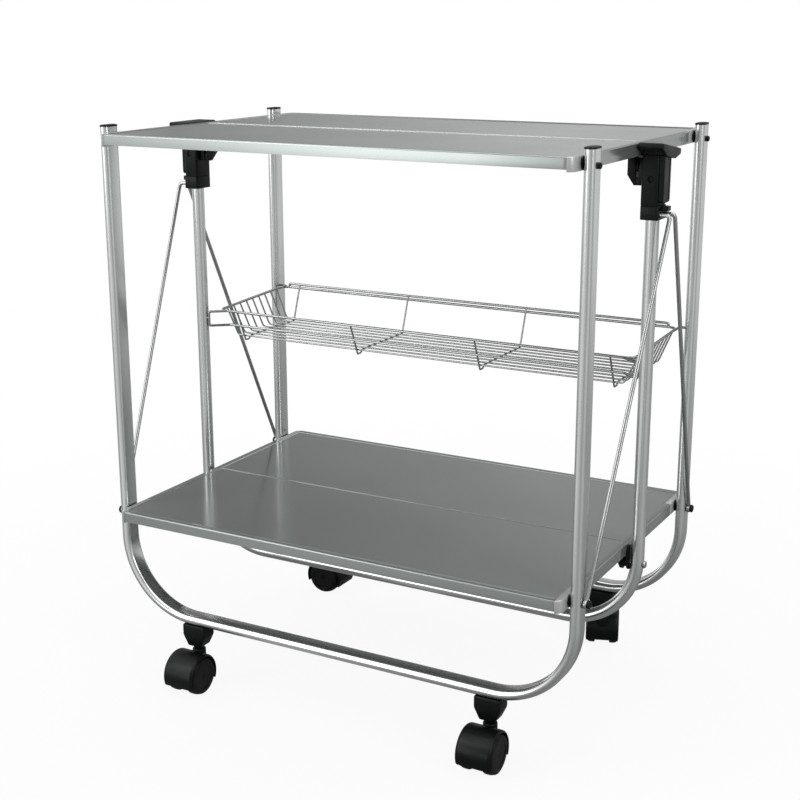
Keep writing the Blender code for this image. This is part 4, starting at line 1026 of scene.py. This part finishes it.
def handle_grip(size, rock, drop):
    """The flared head that the hand lifts, rocked about its middle, with the cover down its outer side."""
    half, low, top = size.grip_half, size.grip_top - size.grip_deep, size.grip_top
    end_round, rim_round, crisp, cover_lap = 0.0035, 0.0022, 0.0010, 0.0030
    dish_near, dish_far, dish_wall, dish_edge = 0.0185, 0.0290, 0.004, 0.0015
    dish_low, dish_top = low - 0.002, low + size.grip_rise + 0.0002
    head = start_block("grip", (size.inner_x, -half, low), (size.grip_out, half, top))
    for way in (-1, 1):
        cut_across(head, (0, way * size.half_y, 0), (0, 1, 0))
    pick(head, "VERT", lambda point: abs(point.co.y) > half - TOUCH and point.co.z < low + TOUCH)
    slide((0, 0, size.grip_rise))
    leave_edit()
    round_edges(head, lambda edge: along("Z")(edge) and abs(edge.verts[0].co.y) > half - TOUCH, end_round, 5)
    round_edges(head, lambda edge: lying_at("Z", top)(edge) and edge.calc_face_angle(0) > radians(30),
                rim_round)
    soften(head, crisp, 3)
    for way in (-1, 1):
        low_y, high_y = sorted((way * dish_near, way * dish_far))
        dish = start_block("dish", (size.inner_x + dish_wall, low_y, dish_low),
                           (size.grip_out - dish_wall, high_y, dish_top))
        soften(dish, dish_edge, 3)
        carve(head, dish)
    take(head)
    head.matrix_world = (Matrix.Translation((0, 0, low - drop)) @ Matrix.Rotation(rock, 4, "X")
                         @ Matrix.Translation((0, 0, -low)))
    settle(head)
    carve(head, grip_cover(size, low - drop + cover_lap), "UNION")
    return head


def grip_cover(size, top):
    """The cover below the grip's head, with a line drawn round its outer face."""
    half, foot, outer = size.cover_half, size.low + 0.003, size.cover_out
    foot_round, rim_round, border, line = 0.0040, 0.0016, 0.0022, 0.0005
    cover = start_block("cover", (size.cover_in, -half, foot), (outer, half, top))
    round_edges(cover, lambda edge: along("X")(edge) and lying_at("Z", foot)(edge), foot_round, 6)
    round_edges(cover, lambda edge: lying_at("X", outer)(edge)
                and min(point.co.z for point in edge.verts) < top - TOUCH, rim_round)
    pick(cover, "FACE", facing("X", 1))
    inset(border)
    inset(line, -line)
    leave_edit()
    return cover


def pivot_plate(size, shelves):
    """The plate and boss between the lower shelf's ears and the middle post, on the right side."""
    z, joint = shelves.low - shelves.middle_drop, shelves.half_x + 2 * TOUCH
    low_x, high_x, centre_z = shelves.half_x + TOUCH, 0.3098, z + 0.0065
    radius, reach, edge = 0.008, 0.0075, 0.0005
    plate = start_drum("plate", ((low_x + high_x) / 2, 0, centre_z), radius, high_x - low_x, "X", 38)
    stretch(plate, "Z", centre_z, reach)
    soften(plate, edge, 2)
    return gather(plate, joint_boss(size, joint, z))


class TROLLEY_OT_struts(bpy.types.Operator):
    """Moulds the sliding collars and draws the wire struts with their eyes"""

    bl_idname = "trolley.struts"
    bl_label = "Draw Struts"

    def execute(self, context):
        size, frames = context.scene.trolley_handles, context.scene.trolley_frames
        shelves = context.scene.trolley_shelves
        collar = sliding_collar(size, frames)
        for side_name, side in SIDES.items():
            dress(copy_of(collar, f"{side_name}_collar_ring", side), "black_plastic", f"{side_name}_collar")
        foot = Vector((size.foot_x, frames.post_y, shelves.low - shelves.outer_drop))
        head = Vector((size.head_x, size.head_y, size.strut_top))
        tip = Vector((size.collar_out - size.strut_bore, size.head_y, size.strut_top))
        start = foot + (head - foot).normalized() * 10 * TOUCH
        strut = bent_bar("strut", [start, head, tip], size.strut_bend, size.strut_round, 20)
        eye = start_drum("eye", foot, size.eye, 2 * size.strut_round - 2 * TOUCH, "X", 36)
        soften(eye, 4 * TOUCH, 3)
        carve(strut, eye, "UNION")
        carve(strut, start_drum("hole", foot, size.eye_hole, 4 * size.strut_round, "X", 28))
        for corner, side, sign in corners():
            dress(copy_of(strut, f"{corner}_strut_wire", side, sign), "pin_steel", f"{corner}_strut")
        discard(collar, strut)
        return {"FINISHED"}


def sliding_collar(size, frames):
    """A collar on the middle post with a tab over the struts' ends and a bore for each, on the right side."""
    out, low, top, half = size.collar_out, size.collar_low, size.collar_top, size.tab_half
    tab_top, tab_lap, tab_round, tab_edge, spare = top - 0.0004, 0.001, 0.0015, 0.0007, 0.002
    socket, socket_long = 0.0030, 0.0058
    ring = start_block("collar", (size.inner_x, -size.half_y, low), (out, size.half_y, top))
    round_edges(ring, along("Z"), size.corner, 5)
    soften(ring, size.crisp, 2)
    tab = start_block("tab", (out - tab_lap, -half, tab_top - size.tab_deep),
                      (out + size.tab_out, half, tab_top))
    round_edges(tab, lambda edge: along("Z")(edge) and edge.verts[0].co.x > out, tab_round)
    soften(tab, tab_edge, 2)
    carve(ring, tab, "UNION")
    carve(ring, start_drum("bore", (frames.middle_x, 0, (low + top) / 2), frames.middle_round + TOUCH,
                           top - low + 2 * spare, "Z", 40))
    for way in ENDS.values():
        mouth = (out, way * size.head_y, size.strut_top)
        carve(ring, start_drum("socket", mouth, socket, socket_long, "X", 28))
    return ring


def rim_height(size, y):
    """The height of the basket's rim, which rises to the rear."""
    return size.front_z + (size.rear_z - size.front_z) * (y - size.front_y) / (size.rear_y - size.front_y)


def rim_bar(size, name, points, bend=0.0, steps=5):
    """A thick wire of the basket."""
    return bent_bar(name, points, bend, size.rim_wire, sides=12, steps=steps)


def fine_bar(size, name, points, bend):
    """A fine wire of the basket."""
    return bent_bar(name, points, bend, size.fine_wire, sides=8, steps=5)


def basket_hooks(size, side):
    """The rear hook, the front loop and its tip on one side."""
    x, front, at = side * size.half_x, size.front_y, size.rear_hook_y - size.rear_hook_long
    hook_bend, loop_bend, loop_dip = 0.0035, 0.0030, 0.0010
    points = [(x, at, rim_height(size, at)), (x, size.rear_hook_y, size.rear_pivot_z),
              (side * size.rear_tip, size.rear_hook_y, size.rear_pivot_z)]
    rear = rim_bar(size, "rear hook", points, hook_bend, 6)
    start, loop = side * (size.half_x - size.loop_in), side * size.loop_x
    second_z = size.front_z - size.second_down
    points = [(start, front, size.front_z), (loop, 0, size.front_z - loop_dip), (loop, 0, second_z),
              (start, front + size.second_in, second_z)]
    front_loop = rim_bar(size, "front hook", points, loop_bend, 6)
    points = [(loop - side * TOUCH, 0, size.pivot_z), (side * size.front_tip, 0, size.pivot_z)]
    return [rear, front_loop, rim_bar(size, "hook tip", points)]


class TROLLEY_OT_basket(bpy.types.Operator):
    """Bends the wires of the basket and hooks them together"""

    bl_idname = "trolley.basket"
    bl_label = "Bend Basket"

    def execute(self, context):
        size = context.scene.trolley_basket
        x, front, rear, low = size.half_x, size.front_y, size.rear_y, size.floor_z
        high, back = size.front_z, size.rear_z
        rim = [(0, front, high), (x, front, high), (x, rear, back), (-x, rear, back), (-x, front, high),
               (TOUCH / 4, front, high)]
        wires = [rim_bar(size, "basket_wires", rim, size.rim_bend, 7)]
        floor_front, floor_rear = front + size.splay, rear - size.splay
        for index in range(size.long_wires):
            y = floor_front + (floor_rear - floor_front) * index / (size.long_wires - 1)
            top = rim_height(size, y)
            points = [(-x, y, top), (size.splay - x, y, low), (x - size.splay, y, low), (x, y, top)]
            wires.append(fine_bar(size, "long wire", points, size.side_bend))
        under, rail = low - 2 * size.fine_wire + TOUCH, back + size.rail_up
        foot_end, foot_z = floor_front + size.foot_long, under - size.foot_deep
        for index in range(size.cross_wires):
            at = size.cross_reach * (2 * index / (size.cross_wires - 1) - 1)
            points = [(at, front, high), (at, floor_front, foot_z), (at, foot_end, foot_z),
                      (at, foot_end + size.foot_deep, under), (at, floor_rear, under), (at, rear, rail)]
            wires.append(fine_bar(size, "cross wire", points, size.cross_bend))
        rail_x = x - size.rail_in
        points = [(-rail_x, rear, back), (-rail_x, rear, rail), (rail_x, rear, rail), (rail_x, rear, back)]
        wires.append(rim_bar(size, "rear rail", points, size.rail_bend))
        second_x, second_y, second_z = x - size.loop_in, front + size.second_in, high - size.second_down
        points = [(-second_x, second_y, second_z), (second_x, second_y, second_z)]
        wires.append(rim_bar(size, "second wire", points))
        for side in SIDES.values():
            wires += basket_hooks(size, side)
        dress(gather(*wires), "bright_wire", "basket", 50)
        return {"FINISHED"}


class TROLLEY_OT_casters(bpy.types.Operator):
    """Moulds the sockets, the hoods and the wheels of the casters"""

    bl_idname = "trolley.casters"
    bl_label = "Mould Casters"

    def execute(self, context):
        size, frames = context.scene.trolley_casters, context.scene.trolley_frames
        models = caster_socket(size), caster_hood(size), caster_wheel(size)
        socket, hood, wheel = models
        for stem, side, sign in corners():
            place, turn = (side * size.stem_x, sign * frames.post_y, 0), CASTER_TURNS.get(stem, 0)
            piece = copy_of(socket, f"{stem}_socket_shell", 1, sign, place)
            dress(piece, "black_plastic", f"{stem}_caster_socket")
            piece = copy_of(hood, f"{stem}_hood_shell", 1, sign, place, turn)
            dress(piece, "wheel_plastic", f"{stem}_caster_hood")
            for wheel_name, way in SIDES.items():
                piece = copy_of(wheel, f"{stem}_{wheel_name}_tread", way, sign, place, turn)
                dress(piece, "wheel_plastic", f"{stem}_{wheel_name}_wheel")
        discard(*models)
        return {"FINISHED"}


def caster_socket(size):
    """The tapered socket under a frame's bar, about the stem's axis."""
    low, top, wide, deep = size.socket_low, size.socket_top, size.socket_wide, size.socket_deep
    taper, edge, bore, bore_long = 0.9, 0.0022, 0.0064, 0.004
    shell = start_block("socket", (-wide, -deep, low), (wide, deep, top))
    cut_across(shell, (0, 0, low + size.socket_neck), (0, 0, 1))
    pick(shell, "VERT", lambda point: near(point.co.z, low))
    squeeze((size.socket_narrow / wide, taper, 1), (0, 0, low))
    leave_edit()
    soften(shell, edge, 4, 15)
    carve(shell, start_drum("bore", (0, 0, low), bore, bore_long, "Z", 32))
    return shell


def caster_hood(size):
    """The hood over both wheels, with its web, axle, shoulder and neck, about the stem's axis."""
    y, z, outer, wide = size.trail, size.axle_z, size.hood, size.wheel_out
    inner, wheel_gap, web_room, shoulder_up, crown = outer - HOOD_WALL, 0.0008, TOUCH, 0.009, 0.0018
    web, (back, front) = size.wheel_in - wheel_gap, HOOD_OPENING
    shell = start_drum("hood", (0, y, z), outer, 2 * wide, "X", 72)
    round_edges(shell, lambda edge: not along("X")(edge), size.hood_round, 6)
    for way in (-1, 1):
        carve(shell, start_drum("room", (way * (web + wide), y, z), inner, 2 * wide, "X", 72))
    gap = start_block("gap", (-2 * wide, y - 2 * outer, z - 2 * outer),
                      (2 * wide, y + 2 * outer, z + 2 * outer))
    for angle, way in ((back, 1), (front, -1)):
        normal = (0, -sin(angle) * way, cos(angle) * way)
        cut_across(gap, (0, y, z), normal, clear_inner=True, use_fill=True)
    carve(shell, gap)
    plate = start_drum("web", (0, y, z), size.web, 2 * web - web_room, "X", 48)
    for angle in (back, front):
        place = (0, y + (inner + TOUCH) * cos(angle), z + (inner + TOUCH) * sin(angle))
        gather(plate, start_drum("edge", place, TOUCH, 2 * web - web_room, "X", 8))
    wrap(plate)
    axle = start_drum("axle", (0, y, z), size.axle, 2 * (wide - wheel_gap), "X", 24)
    top, foot = size.shoulder_z, z + shoulder_up
    shoulder = start_drum("shoulder", (0, 0, (foot + top) / 2), size.shoulder, top - foot, "Z", 40)
    round_edges(shoulder, lying_at("Z", top), crown)
    neck_low, neck_top = top - TOUCH, size.socket_low + 4 * TOUCH
    neck = start_drum("neck", (0, 0, (neck_low + neck_top) / 2), size.neck, neck_top - neck_low, "Z", 36)
    return gather(shell, plate, axle, shoulder, neck)


# Widths and depths of the rings drawn on a wheel's faces, from its rim inwards
OUTER_RINGS = ((0.0012, 0), (0.0006, -0.0009), (0.0062, 0), (0.0005, 0.0006), (0.0050, 0),
               (0.0005, -0.0005))
INNER_RINGS = ((0.0016, 0), (0.0006, -0.0010))


def caster_wheel(size):
    """One wheel, its outer face dished about a hub disc, to the right of the caster's middle."""
    y, z, low, high = size.trail, size.axle_z, size.wheel_in, size.wheel_out
    wheel = start_drum("wheel", ((low + high) / 2, y, z), size.wheel, high - low, "X", 72)
    round_edges(wheel, lying_at("X", high), size.tread, 8)
    round_edges(wheel, lying_at("X", low), size.inner_tread, 3)
    for way, rings in ((1, OUTER_RINGS), (-1, INNER_RINGS)):
        pick(wheel, "FACE", facing("X", way))
        for ring, depth in rings:
            inset(ring, depth)
    leave_edit()
    return wheel


# Stage

ROOM_LIGHT = 0.5
# What metal sees of the room: degrees round from the front, and how pale it is there
NEAR_BANDS = ((-180, 0.40), (-140, 0.48), (-112, 0.62), (-91, 0.36), (-77, 0.34), (-62, 0.38), (-46, 0.72),
              (-30, 1.05), (-10, 0.80), (10, 0.70), (42, 0.36), (64, 0.55), (84, 0.54), (108, 0.36),
              (125, 0.34), (158, 0.32), (180, 0.36))
FAR_BANDS = ((-180, 0.50), (-158, 0.62), (-142, 0.30), (-112, 1.35), (-91, 0.42), (-77, 0.46), (-62, 0.95),
             (-46, 0.80), (-30, 0.95), (-10, 1.0), (10, 0.95), (42, 0.44), (60, 0.64), (76, 0.98), (92, 0.84),
             (110, 0.58), (125, 0.50), (150, 0.95), (180, 0.55))
PANEL_BANDS = ((-180, 0.0), (-125, 0.0), (-112, 1.2), (-100, 0.4), (-91, 0.0), (-78, 0.0), (-62, 0.6),
               (-48, 0.8), (-40, 1.9), (-30, 3.4), (-23, 4.0), (-16, 0.3), (-8, 0.0), (180, 0.0))
BAND_TINT = 1.01  # how much greener than grey the room is
CEILING, DIM = (1.8, 1.8, 1.8, 1), (0.45, 0.45, 0.45, 1)
# Metres from the middle of the floor over which each comes in
FAR_FLOOR, PANEL_FLOOR, DIM_FLOOR, WHITE_FLOOR = (1.0, 3.6), (5.0, 7.5), (0.9, 0.35), (0.3, 1.3)
# Rise of the line of sight over which each comes in
PANEL_RISE, DIM_RISE, CEILING_RISE = (0.35, 0.15), (0.34, 0.52), (0.58, 0.68)
LEAST_WHITE, GLOSSY_GLOW_SHARE = 0.92, 0.85  # how white the floor is to the camera near the middle, and how much of it glows to metal as a painted reflection
FLOOR_SIDE, FLOOR_PATCHES, FLOOR_UNEVEN, FLOOR_ROUGH = 60, 1.5, 0.985, (0.7, 0.85)
LAMP_AIM = (0, 0, 0.4)
LAMPS = {  # place, width, height and power
    "front left lamp": ((-1.9, -2.3, 2.0), 1.2, 2.0, 34),
    "right lamp": ((2.6, -0.9, 1.5), 0.9, 1.8, 20),
    "top lamp": ((0, 0.4, 2.7), 2.2, 2.2, 9),
}
CAMERA_PLACE = (0.8548, -1.5544, 0.8541)
CAMERA_TURN, CAMERA_RISE, CAMERA_ROLL = radians(29.07), radians(15.218), radians(-0.138)
SENSOR, LENS = 36, 64.32  # millimetres


def is_seen(tree, rays):
    """Whether a ray comes from the camera, also through glass."""
    return sum_of(tree, "MAXIMUM", rays["Is Camera Ray"], rays["Is Transmission Ray"])


def make_floor_finish(colour):
    """A pale plain floor that shows white to the camera and keeps soft shadows, and to metal glows with the
    room's bands as painted reflections.
    """
    finish = bpy.data.materials.new("Pale Floor")
    finish.use_nodes = True
    tree = finish.node_tree
    shader = tree.nodes["Principled BSDF"]
    place = put(tree, "ShaderNodeTexCoord").outputs["Object"]
    patches = use(tree, "Grain", {"Place": place, "Patch Scale": FLOOR_PATCHES})["Patches"]
    tone = use(tree, "Tone", {"Light": darker(colour, 1), "Dark": darker(colour, FLOOR_UNEVEN),
                              "Patches": patches})["Color"]
    for socket, value in (("Specular IOR Level", 0.0), ("Base Color", tone),
                          ("Roughness", ramp(tree, patches, 0, 1, *FLOOR_ROUGH))):
        give(tree, shader.inputs[socket], value)
    rays = tree.nodes.new("ShaderNodeLightPath").outputs
    reach = put(tree, "ShaderNodeVectorMath", {0: place}, operation="LENGTH").outputs["Value"]
    white = sum_of(tree, "MULTIPLY", is_seen(tree, rays), ramp(tree, reach, *WHITE_FLOOR, LEAST_WHITE, 1.0))
    # To metal the floor glows with the room's pale and dark bands and far panels, darker near the middle:
    # painted reflections and painted shade.
    share = sum_of(tree, "MAXIMUM", white, sum_of(tree, "MULTIPLY", rays["Is Glossy Ray"], GLOSSY_GLOW_SHARE))
    shown = seen_room(tree, place, rays, ramp(tree, reach, *FAR_FLOOR), ramp(tree, reach, *PANEL_FLOOR),
                      ramp(tree, reach, *DIM_FLOOR))
    glow = put(tree, "ShaderNodeEmission", {"Color": shown, "Strength": 1.0})
    mixed = put(tree, "ShaderNodeMixShader", {0: share, 1: shader.outputs[0], 2: glow.outputs[0]})
    give(tree, tree.nodes["Material Output"].inputs["Surface"], mixed.outputs[0])
    return finish


def bands_of(tree, turn, levels):
    """A grey that changes with the direction."""
    bands = put(tree, "ShaderNodeValToRGB", {0: turn})
    stops = bands.color_ramp.elements
    for angle, level in levels[1:-1]:
        stops.new(angle / 360 + 0.5)
    for stop, (angle, level) in zip(stops, levels):
        stop.position = angle / 360 + 0.5
        stop.color = (level, level * BAND_TINT, level, 1)
    return bands.outputs[0]


def seen_room(tree, place, rays, far, panel, dim):
    """White to the camera, and to metal a room that is pale in some directions and dark in others."""
    parts = put(tree, "ShaderNodeSeparateXYZ", {0: place}).outputs
    ahead = sum_of(tree, "MULTIPLY", parts["Y"], -1.0)
    turn = ramp(tree, sum_of(tree, "ARCTAN2", parts["X"], ahead), -pi, pi)
    room = mix_of(tree, "MIX", far, bands_of(tree, turn, NEAR_BANDS), bands_of(tree, turn, FAR_BANDS))
    room = mix_of(tree, "ADD", panel, room, bands_of(tree, turn, PANEL_BANDS))
    room = mix_of(tree, "MULTIPLY", dim, room, DIM)
    return mix_of(tree, "MIX", rays["Is Glossy Ray"], (1, 1, 1, 1), room)


def light_room(world):
    """White around the camera's view, soft grey light on the object, and bands for metal to reflect."""
    world.use_nodes = True
    tree = world.node_tree
    back = tree.nodes["Background"].inputs
    rays = tree.nodes.new("ShaderNodeLightPath").outputs
    heading = put(tree, "ShaderNodeTexCoord").outputs["Generated"]
    seen = sum_of(tree, "MAXIMUM", is_seen(tree, rays), rays["Is Glossy Ray"])
    give(tree, back["Strength"], sum_of(tree, "MAXIMUM", seen, ROOM_LIGHT))
    rise = put(tree, "ShaderNodeSeparateXYZ", {0: heading}).outputs["Z"]
    room = seen_room(tree, heading, rays, 1.0, ramp(tree, rise, *PANEL_RISE), ramp(tree, rise, *DIM_RISE))
    high = sum_of(tree, "MULTIPLY", ramp(tree, rise, *CEILING_RISE), rays["Is Glossy Ray"])
    give(tree, back["Color"], mix_of(tree, "ADD", high, room, CEILING))


def hang_lamp(name, place, wide, tall, power):
    """A soft rectangular lamp."""
    data = bpy.data.lights.new(name, "AREA")
    data.shape = "RECTANGLE"
    data.size, data.size_y, data.energy = wide, tall, power
    lamp = bpy.data.objects.new(name, data)
    bpy.context.scene.collection.objects.link(lamp)
    lamp.location = place
    lamp.rotation_euler = (Vector(LAMP_AIM) - Vector(place)).to_track_quat("-Z", "Y").to_euler()


def place_camera():
    """The camera at the photograph's viewing angle."""
    turn, rise, roll = CAMERA_TURN, CAMERA_RISE, CAMERA_ROLL
    back = Vector((sin(turn) * cos(rise), -cos(turn) * cos(rise), sin(rise)))
    right = Vector((cos(turn), sin(turn), 0))
    up = back.cross(right)
    data = bpy.data.cameras.new("camera")
    data.sensor_fit, data.sensor_width, data.lens = "HORIZONTAL", SENSOR, LENS
    camera = bpy.data.objects.new("camera", data)
    bpy.context.scene.collection.objects.link(camera)
    axes = (right * cos(roll) + up * sin(roll), up * cos(roll) - right * sin(roll), back)
    matrix = Matrix(axes).transposed().to_4x4()
    matrix.translation = CAMERA_PLACE
    camera.matrix_world = matrix
    bpy.context.scene.camera = camera


class TROLLEY_OT_stage(bpy.types.Operator):
    """Lays the floor, hangs the lamps and places the camera"""

    bl_idname = "trolley.stage"
    bl_label = "Set Stage"

    def execute(self, context):
        at_rest()
        bpy.ops.mesh.primitive_plane_add(size=FLOOR_SIDE, location=(0, 0, 0))
        floor = newest("floor")
        floor.data.materials.append(make_floor_finish(context.scene.trolley_colours.floor))
        context.scene.world = bpy.data.worlds.new("Room")
        light_room(context.scene.world)
        for name, lamp in LAMPS.items():
            hang_lamp(name, *lamp)
        context.scene.view_settings.view_transform = "Standard"
        place_camera()
        return {"FINISHED"}


class TROLLEY_PT_panel(bpy.types.Panel):
    """Lists the trolley's sizes, colours and steps"""

    bl_idname = "TROLLEY_PT_panel"
    bl_label = "Folding Trolley"
    bl_space_type = "VIEW_3D"
    bl_region_type = "UI"
    bl_category = "Trolley"

    def draw(self, context):
        layout = self.layout
        for name, group in GROUPS.items():
            box = layout.box()
            box.label(text=group.__doc__.strip("."))
            settings = getattr(context.scene, name)
            for item in group.__annotations__:
                box.prop(settings, item)
        for operator in OPERATORS:
            layout.operator(operator.bl_idname)


GROUPS = {
    "trolley_frames": TrolleyFrameSizes,
    "trolley_shelves": TrolleyShelfSizes,
    "trolley_pins": TrolleyPinSizes,
    "trolley_handles": TrolleyHandleSizes,
    "trolley_basket": TrolleyBasketSizes,
    "trolley_casters": TrolleyCasterSizes,
    "trolley_colours": TrolleyColours,
}
OPERATORS = (
    TROLLEY_OT_finishes, TROLLEY_OT_frames, TROLLEY_OT_caps, TROLLEY_OT_shelves, TROLLEY_OT_corners,
    TROLLEY_OT_pins, TROLLEY_OT_handles, TROLLEY_OT_struts, TROLLEY_OT_basket, TROLLEY_OT_casters,
    TROLLEY_OT_stage,
)


def register():
    """Makes the sizes, the steps and the panel known."""
    for group in GROUPS.values():
        bpy.utils.register_class(group)
    for operator in OPERATORS:
        bpy.utils.register_class(operator)
    bpy.utils.register_class(TROLLEY_PT_panel)
    for name, group in GROUPS.items():
        setattr(bpy.types.Scene, name, bpy.props.PointerProperty(type=group))


def unregister():
    """Takes them away again."""
    for name in GROUPS:
        delattr(bpy.types.Scene, name)
    bpy.utils.unregister_class(TROLLEY_PT_panel)
    for operator in reversed(OPERATORS):
        bpy.utils.unregister_class(operator)
    for group in reversed(list(GROUPS.values())):
        bpy.utils.unregister_class(group)


def main():
    """Builds the whole look, step by step."""
    register()
    bpy.ops.trolley.finishes()
    bpy.ops.trolley.frames()
    bpy.ops.trolley.caps()
    bpy.ops.trolley.shelves()
    bpy.ops.trolley.corners()
    bpy.ops.trolley.pins()
    bpy.ops.trolley.handles()
    bpy.ops.trolley.struts()
    bpy.ops.trolley.basket()
    bpy.ops.trolley.casters()
    bpy.ops.trolley.stage()
    at_rest()


if __name__ == "__main__":
    main()
